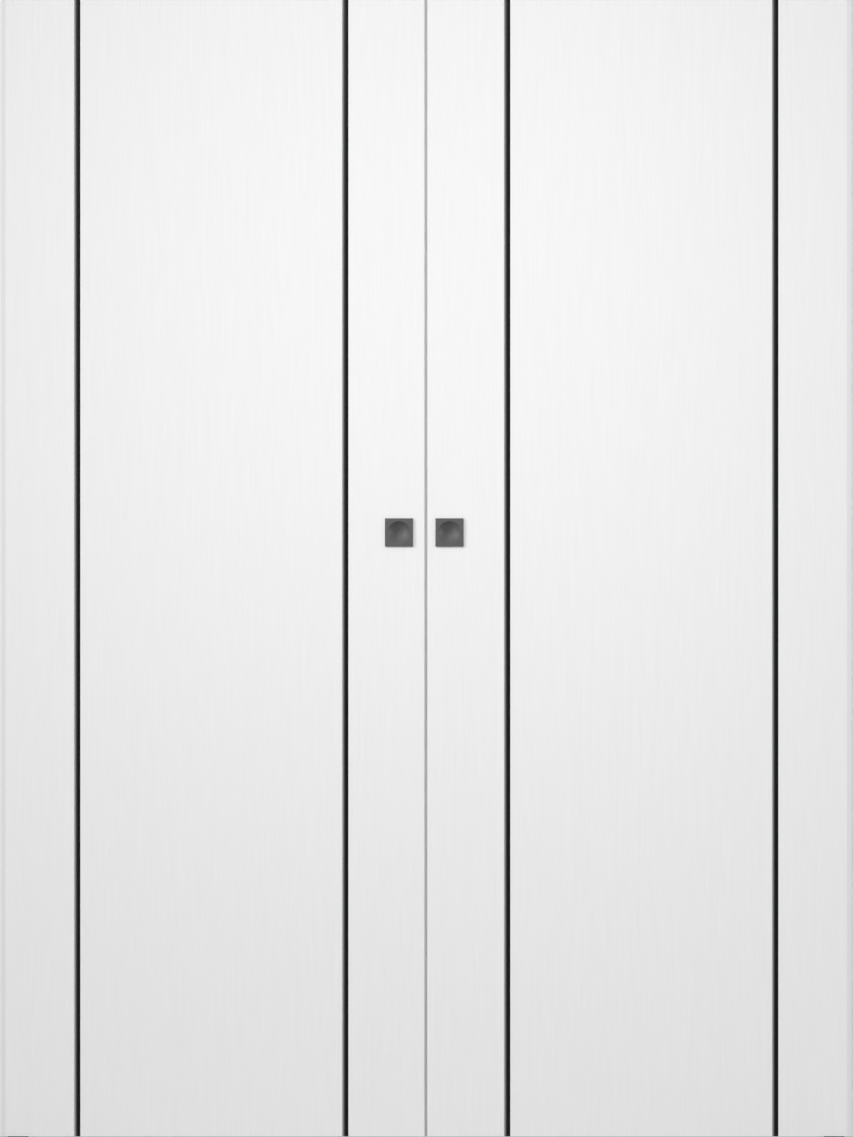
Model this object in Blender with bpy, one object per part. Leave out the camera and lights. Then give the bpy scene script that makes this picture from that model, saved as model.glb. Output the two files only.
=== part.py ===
"""Double sliding door for a wardrobe: two leaves that part from the middle under one top track.

Metres, +Z up. The origin is on the floor, under the line where the closed leaves meet.
The room side faces -Y, and the leaves slide apart along X.
"""

import math

import bmesh
import bpy
from mathutils import Matrix, Vector

MM = 0.001

SIDES = {"left": -1, "right": 1}
FACES = {"front": -1, "back": 1}

# Fits
SEAT_GAP = 0.3 * MM
MEETING_GAP = 0.6 * MM
FLOOR_CLEARANCE = 8 * MM

# Door leaf
LEAF_WIDTH = 762 * MM
LEAF_HEIGHT = 2032 * MM
LEAF_THICKNESS = 40 * MM
SKIN_THICKNESS = 10 * MM
MEETING_BAND_THICKNESS = 3 * MM
MEETING_EDGE_RADIUS = 2.5 * MM
LIPPING_THICKNESS = 16 * MM
OUTER_EDGE_RADIUS = 12 * MM
OUTER_STILE_WIDTH = 45 * MM
MEETING_STILE_LAND = 15 * MM
TOP_RAIL_HEIGHT = 100 * MM
BOTTOM_RAIL_HEIGHT = 90 * MM

# Inlaid strips
STRIP_WIDTH = 11 * MM
STRIP_SEAT_DEPTH = 2.5 * MM
STRIP_CROWN = 1.1 * MM
STRIP_FROM_EDGE = 143.3 * MM

# Flush pulls
CUP_DIAMETER = 40 * MM
CUP_DEPTH = 10 * MM
CUP_WALL = 1.2 * MM
CUP_PLAY = 0.5 * MM
PULL_RIM = 5 * MM
PULL_THICKNESS = 3 * MM
PULL_CHAMFER = 0.8 * MM
PULL_HEIGHT = 1071 * MM
PULL_FROM_EDGE = {"left": 48 * MM, "right": 41 * MM}

# Hangers
HANGER_FROM_EDGE = 75 * MM
HANGER_PLATE_LENGTH = 90 * MM
HANGER_PLATE_WIDTH = 28 * MM
HANGER_PLATE_THICKNESS = 4 * MM
HANGER_SCREW_DIAMETER = 4.5 * MM
HANGER_SCREW_EDGE = 8 * MM
BOLT_DIAMETER = 8 * MM
BOLT_HEAD_OVERHANG = 2 * MM
BOLT_HEAD_HEIGHT = 4.5 * MM
BOLT_HEAD_SINK = 0.5 * MM
BOLT_TAIL = 12 * MM
BOLT_TAIL_PLAY = 1 * MM
NUT_FLAT_WALL = 2.5 * MM
NUT_HEIGHT = 6.5 * MM

# Trolleys
TROLLEY_WALL = 1.5 * MM
TROLLEY_LIFT = 1.2 * MM
TROLLEY_CORNER_RADIUS = 3 * MM
TROLLEY_NOSE = 4 * MM
WHEELBASE = 44 * MM
WHEEL_DIAMETER = 20 * MM
WHEEL_WIDTH = 7 * MM
WHEEL_CHAMFER = 0.8 * MM
WHEEL_SIDE_PLAY = 0.7 * MM
AXLE_DIAMETER = 5 * MM
AXLE_STUB = 0.4 * MM

# Track and stops
TRACK_GAP = 3 * MM
TRACK_WALL = 2.8 * MM
TRACK_LIP_THICKNESS = 3 * MM
TRACK_HEADROOM = 2 * MM
TRACK_END_MARGIN = 6 * MM
TRACK_SCREW_DIAMETER = 5.5 * MM
TRACK_SCREW_COUNT = 8
TRACK_SCREW_FROM_END = 80 * MM
SLOT_PLAY = 2 * MM
STOP_LENGTH = 30 * MM
STOP_SCREW_DIAMETER = 6 * MM
BUFFER_LENGTH = 10 * MM
BUFFER_DIAMETER = 12 * MM
BUFFER_EDGE_RADIUS = 2 * MM

# Floor guides
GUIDE_FIN_THICKNESS = 6.8 * MM
GUIDE_FIN_LENGTH = 36 * MM
GUIDE_FIN_ENGAGEMENT = 11 * MM
GUIDE_SIDE_PLAY = 0.6 * MM
GUIDE_TOP_PLAY = 3 * MM
GUIDE_END_PLAY = 3.2 * MM
GUIDE_BASE_WIDTH = 48 * MM
GUIDE_BASE_THICKNESS = 3 * MM
GUIDE_SCREW_DIAMETER = 4.5 * MM
GUIDE_SCREW_LAND = 8 * MM

# Facets
NUT_SIDES = 6
BORE_STEPS = 16
WHEEL_STEPS = 20
SCREW_HOLE_STEPS = 8
CUP_STEPS = 32
CUP_ARC_STEPS = 5
CROWN_STEPS = 8
CORNER_STEPS = 5
SMOOTH_ANGLE = math.radians(40)

# Leaf layers, measured from the leaf's own meeting edge and foot
CORE_THICKNESS = LEAF_THICKNESS - 2 * (SKIN_THICKNESS + SEAT_GAP)
FRAME_START = MEETING_BAND_THICKNESS + SEAT_GAP
FRAME_END = LEAF_WIDTH - LIPPING_THICKNESS - SEAT_GAP
STRIP_CENTRES = {"meeting": STRIP_FROM_EDGE, "outer": LEAF_WIDTH - STRIP_FROM_EDGE}
HANGER_CENTRES = {"meeting": HANGER_FROM_EDGE, "outer": LEAF_WIDTH - HANGER_FROM_EDGE}

# Travel that keeps the floor guide in its groove at both ends
TRAVEL = FRAME_END - FRAME_START - GUIDE_FIN_LENGTH - 2 * GUIDE_END_PLAY

# Cup: a spherical dish, measured from the outer face of its plate
PULL_SIDE = CUP_DIAMETER + 2 * PULL_RIM
CUP_SPHERE = (CUP_DIAMETER ** 2 / 4 + CUP_DEPTH ** 2) / (2 * CUP_DEPTH)
CUP_SPHERE_LIFT = CUP_SPHERE - CUP_DEPTH
PULL_PROUD = PULL_THICKNESS + SEAT_GAP
CUP_RADIUS_AT_SKIN = math.sqrt((CUP_SPHERE + CUP_WALL) ** 2 - (CUP_SPHERE_LIFT + PULL_PROUD) ** 2)
MORTISE_RADIUS = CUP_RADIUS_AT_SKIN + CUP_PLAY
MORTISE_DEPTH = CUP_DEPTH + CUP_WALL - PULL_PROUD + CUP_PLAY
MEETING_STILE_END = max(PULL_FROM_EDGE.values()) + MORTISE_RADIUS + MEETING_STILE_LAND

# Heights above the floor
LEAF_TOP = FLOOR_CLEARANCE + LEAF_HEIGHT
PLATE_TOP = LEAF_TOP + SEAT_GAP + HANGER_PLATE_THICKNESS
NUT_TOP = PLATE_TOP + SEAT_GAP + NUT_HEIGHT
TRACK_BOTTOM = NUT_TOP + TRACK_GAP
LIP_TOP = TRACK_BOTTOM + TRACK_LIP_THICKNESS
AXLE_HEIGHT = LIP_TOP + SEAT_GAP + WHEEL_DIAMETER / 2
TRACK_CEILING = LIP_TOP + SEAT_GAP + WHEEL_DIAMETER + TRACK_HEADROOM
TRACK_TOP = TRACK_CEILING + TRACK_WALL
TROLLEY_BOTTOM = LIP_TOP + TROLLEY_LIFT
TROLLEY_TOP = TRACK_CEILING - TROLLEY_LIFT
TROLLEY_HEIGHT = TROLLEY_TOP - TROLLEY_BOTTOM
BOLT_SEAT = TROLLEY_TOP - BOLT_HEAD_SINK - BOLT_HEAD_HEIGHT - SEAT_GAP
BOLT_END = LEAF_TOP - BOLT_TAIL

# Widths across the track, from its middle
BOLT_HEAD_RADIUS = BOLT_DIAMETER / 2 + BOLT_HEAD_OVERHANG
TROLLEY_HALF_WIDTH = BOLT_HEAD_RADIUS + SEAT_GAP + TROLLEY_WALL
WHEEL_INNER = TROLLEY_HALF_WIDTH + WHEEL_SIDE_PLAY
WHEEL_OUTER = WHEEL_INNER + WHEEL_WIDTH
CHANNEL_HALF_WIDTH = WHEEL_OUTER + AXLE_STUB + WHEEL_SIDE_PLAY
TRACK_HALF_WIDTH = CHANNEL_HALF_WIDTH + TRACK_WALL
SLOT_HALF_WIDTH = BOLT_DIAMETER / 2 + SLOT_PLAY

# Distances along the track, from its middle
TROLLEY_HALF_LENGTH = WHEELBASE / 2 + WHEEL_DIAMETER / 2 + TROLLEY_NOSE
CENTRE_STOP_END = MEETING_GAP / 2 + HANGER_CENTRES["meeting"] - TROLLEY_HALF_LENGTH - SEAT_GAP
OPEN_NOSE = MEETING_GAP / 2 + HANGER_CENTRES["outer"] + TROLLEY_HALF_LENGTH + TRAVEL
BUFFER_FACE = OPEN_NOSE + SEAT_GAP
STOP_FACE = BUFFER_FACE + BUFFER_LENGTH + SEAT_GAP
TRACK_HALF_LENGTH = STOP_FACE + STOP_LENGTH + TRACK_END_MARGIN
GUIDE_CENTRE = MEETING_GAP / 2 + FRAME_END - GUIDE_END_PLAY - GUIDE_FIN_LENGTH / 2

# Floor guide
GROOVE_WIDTH = GUIDE_FIN_THICKNESS + 2 * GUIDE_SIDE_PLAY
GROOVE_DEPTH = GUIDE_FIN_ENGAGEMENT + GUIDE_TOP_PLAY
GUIDE_TOP = FLOOR_CLEARANCE + GUIDE_FIN_ENGAGEMENT
GUIDE_SCREW_OFFSET = GUIDE_FIN_LENGTH / 2 + GUIDE_SCREW_LAND
GUIDE_BASE_LENGTH = 2 * (GUIDE_SCREW_OFFSET + GUIDE_SCREW_LAND)


def remove_old_objects():
    """Start from an empty scene."""
    for old in list(bpy.data.objects):
        bpy.data.objects.remove(old)


def finish(name, colour, roughness, metallic=0.0):
    """Make a material with one Principled BSDF."""
    material = bpy.data.materials.new(name)
    material.use_nodes = True
    shader = material.node_tree.nodes["Principled BSDF"]
    shader.inputs["Base Color"].default_value = (*colour, 1.0)
    shader.inputs["Roughness"].default_value = roughness
    shader.inputs["Metallic"].default_value = metallic
    return material


def arc(centre, radius, start, end, steps):
    """Points of an arc in a plane, from one angle in degrees to another."""
    points = []
    for step in range(steps + 1):
        angle = math.radians(start + (end - start) * step / steps)
        points.append((centre[0] + radius * math.cos(angle), centre[1] + radius * math.sin(angle)))
    return points


def block(size):
    """A box around the origin."""
    mesh = bmesh.new()
    bmesh.ops.create_cube(mesh, size=1, matrix=Matrix.Diagonal((*size, 1)))
    return mesh


def prism(outline, length, axis):
    """Extrude a closed outline along +X or +Z, half to each side of its plane."""
    mesh = bmesh.new()
    along = Vector((length, 0, 0)) if axis == "X" else Vector((0, 0, length))
    corners = []
    for first, second in outline:
        point = Vector((0, first, second)) if axis == "X" else Vector((first, second, 0))
        corners.append(mesh.verts.new(point - along / 2))
    grown = bmesh.ops.extrude_face_region(mesh, geom=[mesh.faces.new(corners)])
    moved = [item for item in grown["geom"] if isinstance(item, bmesh.types.BMVert)]
    bmesh.ops.translate(mesh, verts=moved, vec=along)
    return mesh


def turned(profile, steps, axis=(0, 0, 1)):
    """Spin a profile of (radius, height) points that starts and ends on the axis."""
    mesh = bmesh.new()
    points = [mesh.verts.new((radius, 0, height)) for radius, height in profile]
    edges = [mesh.edges.new(pair) for pair in zip(points, points[1:])]
    bmesh.ops.spin(mesh, geom=points + edges, axis=(0, 0, 1), cent=(0, 0, 0), dvec=(0, 0, 0),
                   angle=2 * math.pi, steps=steps, use_merge=True)
    bmesh.ops.remove_doubles(mesh, verts=mesh.verts, dist=0.001 * MM)
    turn = Vector((0, 0, 1)).rotation_difference(Vector(axis)).to_matrix().to_4x4()
    bmesh.ops.transform(mesh, matrix=turn, verts=mesh.verts)
    return mesh


def bores(centres, radius, length, steps, axis=(0, 0, 1)):
    """Straight round cutters around each centre."""
    mesh = bmesh.new()
    turn = Vector((0, 0, 1)).rotation_difference(Vector(axis)).to_matrix().to_4x4()
    for centre in centres:
        bmesh.ops.create_cone(mesh, cap_ends=True, segments=steps, radius1=radius, radius2=radius,
                              depth=length, matrix=Matrix.Translation(centre) @ turn)
    return mesh


def add_piece(name, mesh, material, location=(0, 0, 0), parent=None, is_round=False):
    """Turn a bmesh into a named object in its place."""
    bmesh.ops.recalc_face_normals(mesh, faces=mesh.faces)
    data = bpy.data.meshes.new(name)
    mesh.to_mesh(data)
    mesh.free()
    if material is not None:
        data.materials.append(material)
    if is_round:
        data.shade_smooth()
        data.set_sharp_from_angle(angle=SMOOTH_ANGLE)
    piece = bpy.data.objects.new(name, data)
    piece.location = location
    piece.parent = parent
    bpy.context.scene.collection.objects.link(piece)
    return piece


def add_tool(name, mesh, location=(0, 0, 0), parent=None):
    """Add a shape that only cuts or joins other pieces."""
    tool = add_piece(name, mesh, None, location, parent)
    tool.hide_render = True
    tool.display_type = "WIRE"
    return tool


def combine(piece, tool, operation="DIFFERENCE"):
    """Cut a tool out of a piece, or join it to the piece."""
    modifier = piece.modifiers.new(tool.name, "BOOLEAN")
    modifier.operation = operation
    modifier.solver = "EXACT"
    modifier.object = tool


def add_joint_frame(name, location, parent=None):
    """Add an empty that carries the pieces of one moving body."""
    frame = bpy.data.objects.new(name, None)
    frame.location = location
    frame.parent = parent
    bpy.context.scene.collection.objects.link(frame)
    return frame


def make_finishes():
    """The materials of all pieces."""
    return {
        "laminate": finish("white_laminate", (0.87, 0.865, 0.86), 0.45),
        "edging": finish("white_edging", (0.87, 0.865, 0.86), 0.45),
        "core": finish("particle_core", (0.52, 0.39, 0.25), 0.85),
        "timber": finish("pine_frame", (0.66, 0.5, 0.31), 0.7),
        "strip": finish("black_anodised", (0.012, 0.012, 0.012), 0.35, 0.4),
        "pull": finish("graphite_satin", (0.13, 0.13, 0.13), 0.4, 0.8),
        "steel": finish("zinc_plated_steel", (0.62, 0.63, 0.64), 0.35, 1.0),
        "trolley": finish("cast_zinc", (0.42, 0.43, 0.45), 0.5, 0.9),
        "wheel": finish("grey_nylon", (0.2, 0.2, 0.21), 0.5),
        "track": finish("anodised_aluminium", (0.68, 0.69, 0.7), 0.35, 1.0),
        "stop": finish("black_nylon", (0.03, 0.03, 0.03), 0.55),
        "rubber": finish("buffer_rubber", (0.02, 0.02, 0.02), 0.8),
    }


def make_leaf_frame(side, leaf, finishes):
    """Stiles, rails and core of one leaf, with the guide groove and the holes for the bolt tails."""
    sign = SIDES[side]
    middle_height = LEAF_HEIGHT - TOP_RAIL_HEIGHT - BOTTOM_RAIL_HEIGHT - 2 * SEAT_GAP
    middle_centre = BOTTOM_RAIL_HEIGHT + SEAT_GAP + middle_height / 2
    core_start = MEETING_STILE_END + SEAT_GAP
    core_end = FRAME_END - OUTER_STILE_WIDTH - SEAT_GAP

    def board(name, material, start, end, height, centre):
        """A board of the core's thickness between two distances from the meeting edge."""
        return add_piece(f"{side}_{name}", block((end - start, CORE_THICKNESS, height)),
                         finishes[material], (sign * (start + end) / 2, 0, centre), leaf)

    stile = board("meeting_stile", "timber", FRAME_START, MEETING_STILE_END, middle_height,
                  middle_centre)
    board("outer_stile", "timber", core_end + SEAT_GAP, FRAME_END, middle_height, middle_centre)
    board("core_panel", "core", core_start, core_end, middle_height, middle_centre)
    top = board("top_rail", "timber", FRAME_START, FRAME_END, TOP_RAIL_HEIGHT,
                LEAF_HEIGHT - TOP_RAIL_HEIGHT / 2)
    bottom = board("bottom_rail", "timber", FRAME_START, FRAME_END, BOTTOM_RAIL_HEIGHT,
                   BOTTOM_RAIL_HEIGHT / 2)

    groove = block((2 * LEAF_WIDTH, GROOVE_WIDTH, 2 * GROOVE_DEPTH))
    combine(bottom, add_tool(f"{side}_guide_groove_cut", groove, (0, 0, 0), leaf))
    tails = [(sign * centre, 0, 0) for centre in HANGER_CENTRES.values()]
    tail_radius = BOLT_DIAMETER / 2 + BOLT_TAIL_PLAY
    tail_holes = bores(tails, tail_radius, 2 * (BOLT_TAIL + BOLT_TAIL_PLAY), BORE_STEPS)
    combine(top, add_tool(f"{side}_bolt_tail_cut", tail_holes, (0, 0, LEAF_HEIGHT), leaf))
    return stile


def skin_outline(sign, face_sign):
    """Cross-section of a skin in plan, with the two strip grooves in its outer face."""
    groove_half = STRIP_WIDTH / 2 + SEAT_GAP
    groove_floor = SKIN_THICKNESS - STRIP_SEAT_DEPTH - SEAT_GAP
    outline = [(FRAME_START, SKIN_THICKNESS), (FRAME_START, 0),
               (FRAME_END, 0), (FRAME_END, SKIN_THICKNESS)]
    for centre in sorted(STRIP_CENTRES.values(), reverse=True):
        outline.append((centre + groove_half, SKIN_THICKNESS))
        outline.append((centre + groove_half, groove_floor))
        outline.append((centre - groove_half, groove_floor))
        outline.append((centre - groove_half, SKIN_THICKNESS))
    return [(sign * across, face_sign * depth) for across, depth in outline]


def make_skins(side, leaf, finishes):
    """Front and back skins of one leaf."""
    skins = {}
    for face, face_sign in FACES.items():
        inner_face = face_sign * (LEAF_THICKNESS / 2 - SKIN_THICKNESS)
        skins[face] = add_piece(f"{side}_{face}_skin",
                                prism(skin_outline(SIDES[side], face_sign), LEAF_HEIGHT, "Z"),
                                finishes["laminate"], (0, inner_face, LEAF_HEIGHT / 2), leaf)
    return skins


def edge_outline(thickness, radius):
    """Cross-section of an edge piece in plan, rounded where depth from the edge is nought."""
    limit = min(radius, thickness - SEAT_GAP, LEAF_THICKNESS / 2 - SEAT_GAP)
    half = LEAF_THICKNESS / 2
    outline = [(thickness, -half), (thickness, half)]
    outline += arc((limit, half - limit), limit, 90, 180, CORNER_STEPS)
    outline += arc((limit, limit - half), limit, 180, 270, CORNER_STEPS)
    return outline


def make_edges(side, leaf, finishes):
    """The thin band on the meeting edge and the rounded lipping on the outer edge."""
    sign = SIDES[side]
    band = [(sign * depth, across)
            for depth, across in edge_outline(MEETING_BAND_THICKNESS, MEETING_EDGE_RADIUS)]
    lipping = [(sign * (LEAF_WIDTH - depth), across)
               for depth, across in edge_outline(LIPPING_THICKNESS, OUTER_EDGE_RADIUS)]
    for name, outline in {"meeting_edge_band": band, "outer_edge_lipping": lipping}.items():
        add_piece(f"{side}_{name}", prism(outline, LEAF_HEIGHT, "Z"), finishes["edging"],
                  (0, 0, LEAF_HEIGHT / 2), leaf, True)


def make_strips(side, leaf, finishes):
    """Black strips let into both faces of one leaf, each with a crowned face."""
    half = STRIP_WIDTH / 2
    crown_radius = (half ** 2 + STRIP_CROWN ** 2) / (2 * STRIP_CROWN)
    crown_angle = math.degrees(math.asin(half / crown_radius))
    crown = arc((0, STRIP_CROWN - crown_radius), crown_radius, 90 - crown_angle, 90 + crown_angle,
                CROWN_STEPS)
    outline = [(-half, -STRIP_SEAT_DEPTH), (half, -STRIP_SEAT_DEPTH)] + crown
    for face, face_sign in FACES.items():
        turned_outline = [(across, face_sign * height) for across, height in outline]
        for place, centre in STRIP_CENTRES.items():
            seat = (SIDES[side] * centre, face_sign * LEAF_THICKNESS / 2, LEAF_HEIGHT / 2)
            add_piece(f"{side}_{face}_{place}_strip", prism(turned_outline, LEAF_HEIGHT, "Z"),
                      finishes["strip"], seat, leaf, True)


def cup_arc(radius, mouth):
    """Points of a dish of the cup's sphere, from its mouth plane down to its lowest point."""
    opening = math.acos((CUP_SPHERE_LIFT + mouth) / radius)
    points = []
    for step in range(CUP_ARC_STEPS + 1):
        angle = opening * (1 - step / CUP_ARC_STEPS)
        points.append((radius * math.sin(angle), radius * math.cos(angle) - CUP_SPHERE_LIFT))
    return points


def make_pull(side, leaf, skin, stile, finishes):
    """The square plate with its round cup, and the mortise in the skin that takes it.

    A cup that is deeper than the skin is mortised into the stile behind it too.
    """
    place = (SIDES[side] * PULL_FROM_EDGE[side], -LEAF_THICKNESS / 2, PULL_HEIGHT)
    into_leaf = (0, 1, 0)

    plate = block((PULL_SIDE, PULL_THICKNESS, PULL_SIDE))
    front_edges = [edge for edge in plate.edges if all(corner.co.y < 0 for corner in edge.verts)]
    bmesh.ops.bevel(plate, geom=front_edges, offset=PULL_CHAMFER, segments=1, affect="EDGES")
    bmesh.ops.translate(plate, verts=plate.verts, vec=(0, -SEAT_GAP - PULL_THICKNESS / 2, 0))
    pull = add_piece(f"{side}_front_pull", plate, finishes["pull"], place, leaf, True)

    face = (place[0], place[1] - PULL_PROUD, place[2])
    shell_mouth = PULL_THICKNESS / 2
    shell_profile = [(0, shell_mouth)] + cup_arc(CUP_SPHERE + CUP_WALL, shell_mouth)
    shell = turned(shell_profile, CUP_STEPS, into_leaf)
    combine(pull, add_tool(f"{side}_cup_shell_join", shell, face, leaf), "UNION")
    dish_profile = [(0, -PULL_THICKNESS), (CUP_DIAMETER / 2, -PULL_THICKNESS)]
    dish_profile += cup_arc(CUP_SPHERE, 0)
    dish = turned(dish_profile, CUP_STEPS, into_leaf)
    combine(pull, add_tool(f"{side}_cup_dish_cut", dish, face, leaf))

    mortise = bores([(0, 0, 0)], MORTISE_RADIUS, 2 * MORTISE_DEPTH, CUP_STEPS, into_leaf)
    tool = add_tool(f"{side}_cup_mortise_cut", mortise, place, leaf)
    combine(skin, tool)
    combine(stile, tool)


def make_hanger(side, place, leaf, finishes):
    """Plate, bolt and nut at one hanging point."""
    across = SIDES[side] * HANGER_CENTRES[place]
    name = f"{side}_{place}"
    loose_radius = BOLT_DIAMETER / 2 + SEAT_GAP

    plate_middle = PLATE_TOP - HANGER_PLATE_THICKNESS / 2 - FLOOR_CLEARANCE
    plate = add_piece(f"{name}_hanger_plate",
                      block((HANGER_PLATE_LENGTH, HANGER_PLATE_WIDTH, HANGER_PLATE_THICKNESS)),
                      finishes["steel"], (across, 0, plate_middle), leaf)
    screw_across = HANGER_PLATE_LENGTH / 2 - HANGER_SCREW_EDGE
    screw_out = HANGER_PLATE_WIDTH / 2 - HANGER_SCREW_EDGE
    screws = [(end * screw_across, row * screw_out, 0) for end in (-1, 1) for row in (-1, 1)]
    screw_holes = bores(screws, HANGER_SCREW_DIAMETER / 2, 2 * HANGER_PLATE_THICKNESS,
                        SCREW_HOLE_STEPS)
    combine(plate, add_tool(f"{name}_plate_screw_cut", screw_holes, (across, 0, plate_middle), leaf))
    bolt_hole = bores([(0, 0, 0)], loose_radius, 2 * HANGER_PLATE_THICKNESS, BORE_STEPS)
    combine(plate, add_tool(f"{name}_plate_bolt_cut", bolt_hole, (across, 0, plate_middle), leaf))

    nut_middle = NUT_TOP - NUT_HEIGHT / 2 - FLOOR_CLEARANCE
    nut_radius = (BOLT_DIAMETER / 2 + NUT_FLAT_WALL) / math.cos(math.pi / NUT_SIDES)
    nut = add_piece(f"{name}_lock_nut", bores([(0, 0, 0)], nut_radius, NUT_HEIGHT, NUT_SIDES),
                    finishes["steel"], (across, 0, nut_middle), leaf)
    nut_hole = bores([(0, 0, 0)], loose_radius, 2 * NUT_HEIGHT, BORE_STEPS)
    combine(nut, add_tool(f"{name}_nut_cut", nut_hole, (across, 0, nut_middle), leaf))

    seat = BOLT_SEAT + SEAT_GAP
    shank = BOLT_DIAMETER / 2
    bolt_profile = [(0, BOLT_END - seat), (shank, BOLT_END - seat), (shank, 0),
                    (BOLT_HEAD_RADIUS, 0), (BOLT_HEAD_RADIUS, BOLT_HEAD_HEIGHT),
                    (0, BOLT_HEAD_HEIGHT)]
    add_piece(f"{name}_hanger_bolt", turned(bolt_profile, BORE_STEPS), finishes["steel"],
              (across, 0, seat - FLOOR_CLEARANCE), leaf, True)


def trolley_outline():
    """The trolley's plan, a rectangle with round corners."""
    radius = min(TROLLEY_CORNER_RADIUS, TROLLEY_HALF_WIDTH - SEAT_GAP)
    along = TROLLEY_HALF_LENGTH - radius
    out = TROLLEY_HALF_WIDTH - radius
    outline = []
    for quarter, (x_sign, y_sign) in enumerate([(1, 1), (-1, 1), (-1, -1), (1, -1)]):
        centre = (x_sign * along, y_sign * out)
        outline += arc(centre, radius, 90 * quarter, 90 * (quarter + 1), CORNER_STEPS)
    return outline


def wheelset_profile():
    """Half section of two wheels on one axle, from end to end of the axle."""
    axle = AXLE_DIAMETER / 2
    tread = WHEEL_DIAMETER / 2
    end = WHEEL_OUTER + AXLE_STUB
    half = [(axle, WHEEL_INNER), (tread - WHEEL_CHAMFER, WHEEL_INNER),
            (tread, WHEEL_INNER + WHEEL_CHAMFER), (tread, WHEEL_OUTER - WHEEL_CHAMFER),
            (tread - WHEEL_CHAMFER, WHEEL_OUTER), (axle, WHEEL_OUTER), (axle, end), (0, end)]
    return [(radius, -height) for radius, height in reversed(half)] + half


def make_trolley(side, place, leaf, finishes):
    """The trolley block of one hanging point and its two wheelsets."""
    across = SIDES[side] * HANGER_CENTRES[place]
    name = f"{side}_{place}"
    middle = (TROLLEY_BOTTOM + TROLLEY_TOP) / 2 - FLOOR_CLEARANCE
    trolley = add_piece(f"{name}_trolley", prism(trolley_outline(), TROLLEY_HEIGHT, "Z"),
                        finishes["trolley"], (across, 0, middle), leaf, True)

    axle_level = AXLE_HEIGHT - FLOOR_CLEARANCE
    axles = {"wheelset_1": -WHEELBASE / 2, "wheelset_2": WHEELBASE / 2}
    axle_bores = bores([(offset, 0, 0) for offset in axles.values()], AXLE_DIAMETER / 2 + SEAT_GAP,
                       4 * TROLLEY_HALF_WIDTH, BORE_STEPS, (0, 1, 0))
    combine(trolley, add_tool(f"{name}_axle_cut", axle_bores, (across, 0, axle_level), leaf))
    bolt_bore = bores([(0, 0, 0)], BOLT_DIAMETER / 2 + SEAT_GAP, 2 * TROLLEY_HEIGHT, BORE_STEPS)
    combine(trolley, add_tool(f"{name}_trolley_bolt_cut", bolt_bore, (across, 0, middle), leaf))
    head_bore = bores([(0, 0, TROLLEY_HEIGHT / 2)], BOLT_HEAD_RADIUS + SEAT_GAP, TROLLEY_HEIGHT,
                      BORE_STEPS)
    head_seat = (across, 0, BOLT_SEAT - FLOOR_CLEARANCE)
    combine(trolley, add_tool(f"{name}_trolley_head_cut", head_bore, head_seat, leaf))

    for wheelset, offset in axles.items():
        add_piece(f"{name}_{wheelset}", turned(wheelset_profile(), WHEEL_STEPS, (0, 1, 0)),
                  finishes["wheel"], (across + offset, 0, axle_level), leaf, True)


def make_leaf(side, finishes):
    """One leaf with everything that hangs it and slides with it."""
    foot = (SIDES[side] * MEETING_GAP / 2, 0, FLOOR_CLEARANCE)
    leaf = add_joint_frame(f"{side}_leaf", foot)
    stile = make_leaf_frame(side, leaf, finishes)
    skins = make_skins(side, leaf, finishes)
    make_edges(side, leaf, finishes)
    make_strips(side, leaf, finishes)
    make_pull(side, leaf, skins["front"], stile, finishes)
    for place in HANGER_CENTRES:
        make_hanger(side, place, leaf, finishes)
        make_trolley(side, place, leaf, finishes)


def make_track(finishes):
    """The slotted track that both leaves hang from, with its fixing holes."""
    half = [(SLOT_HALF_WIDTH, TRACK_BOTTOM), (TRACK_HALF_WIDTH, TRACK_BOTTOM),
            (TRACK_HALF_WIDTH, TRACK_TOP)]
    inside = [(CHANNEL_HALF_WIDTH, TRACK_CEILING), (CHANNEL_HALF_WIDTH, LIP_TOP),
              (SLOT_HALF_WIDTH, LIP_TOP)]
    outline = half + [(-out, height) for out, height in reversed(half)]
    outline += [(-out, height) for out, height in reversed(inside)] + inside
    track = add_piece("top_track", prism(outline, 2 * TRACK_HALF_LENGTH, "X"), finishes["track"])

    run = 2 * (TRACK_HALF_LENGTH - TRACK_SCREW_FROM_END)
    pitch = run / (TRACK_SCREW_COUNT - 1)
    screws = [(index * pitch - run / 2, 0, TRACK_TOP) for index in range(TRACK_SCREW_COUNT)]
    holes = bores(screws, TRACK_SCREW_DIAMETER / 2, 4 * TRACK_WALL, SCREW_HOLE_STEPS)
    combine(track, add_tool("track_screw_cut", holes))


def make_stop(name, length, centre, finishes):
    """A stop block that fills the track's channel, with a hole for its clamping screw."""
    width = 2 * (CHANNEL_HALF_WIDTH - SEAT_GAP)
    place = (centre, 0, (LIP_TOP + SEAT_GAP + TROLLEY_TOP) / 2)
    stop = add_piece(name, block((length, width, TROLLEY_TOP - LIP_TOP - SEAT_GAP)),
                     finishes["stop"], place)
    hole = bores([(0, 0, 0)], STOP_SCREW_DIAMETER / 2, 2 * (TRACK_TOP - TRACK_BOTTOM),
                 SCREW_HOLE_STEPS)
    combine(stop, add_tool(f"{name}_screw_cut", hole, place))


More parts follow.
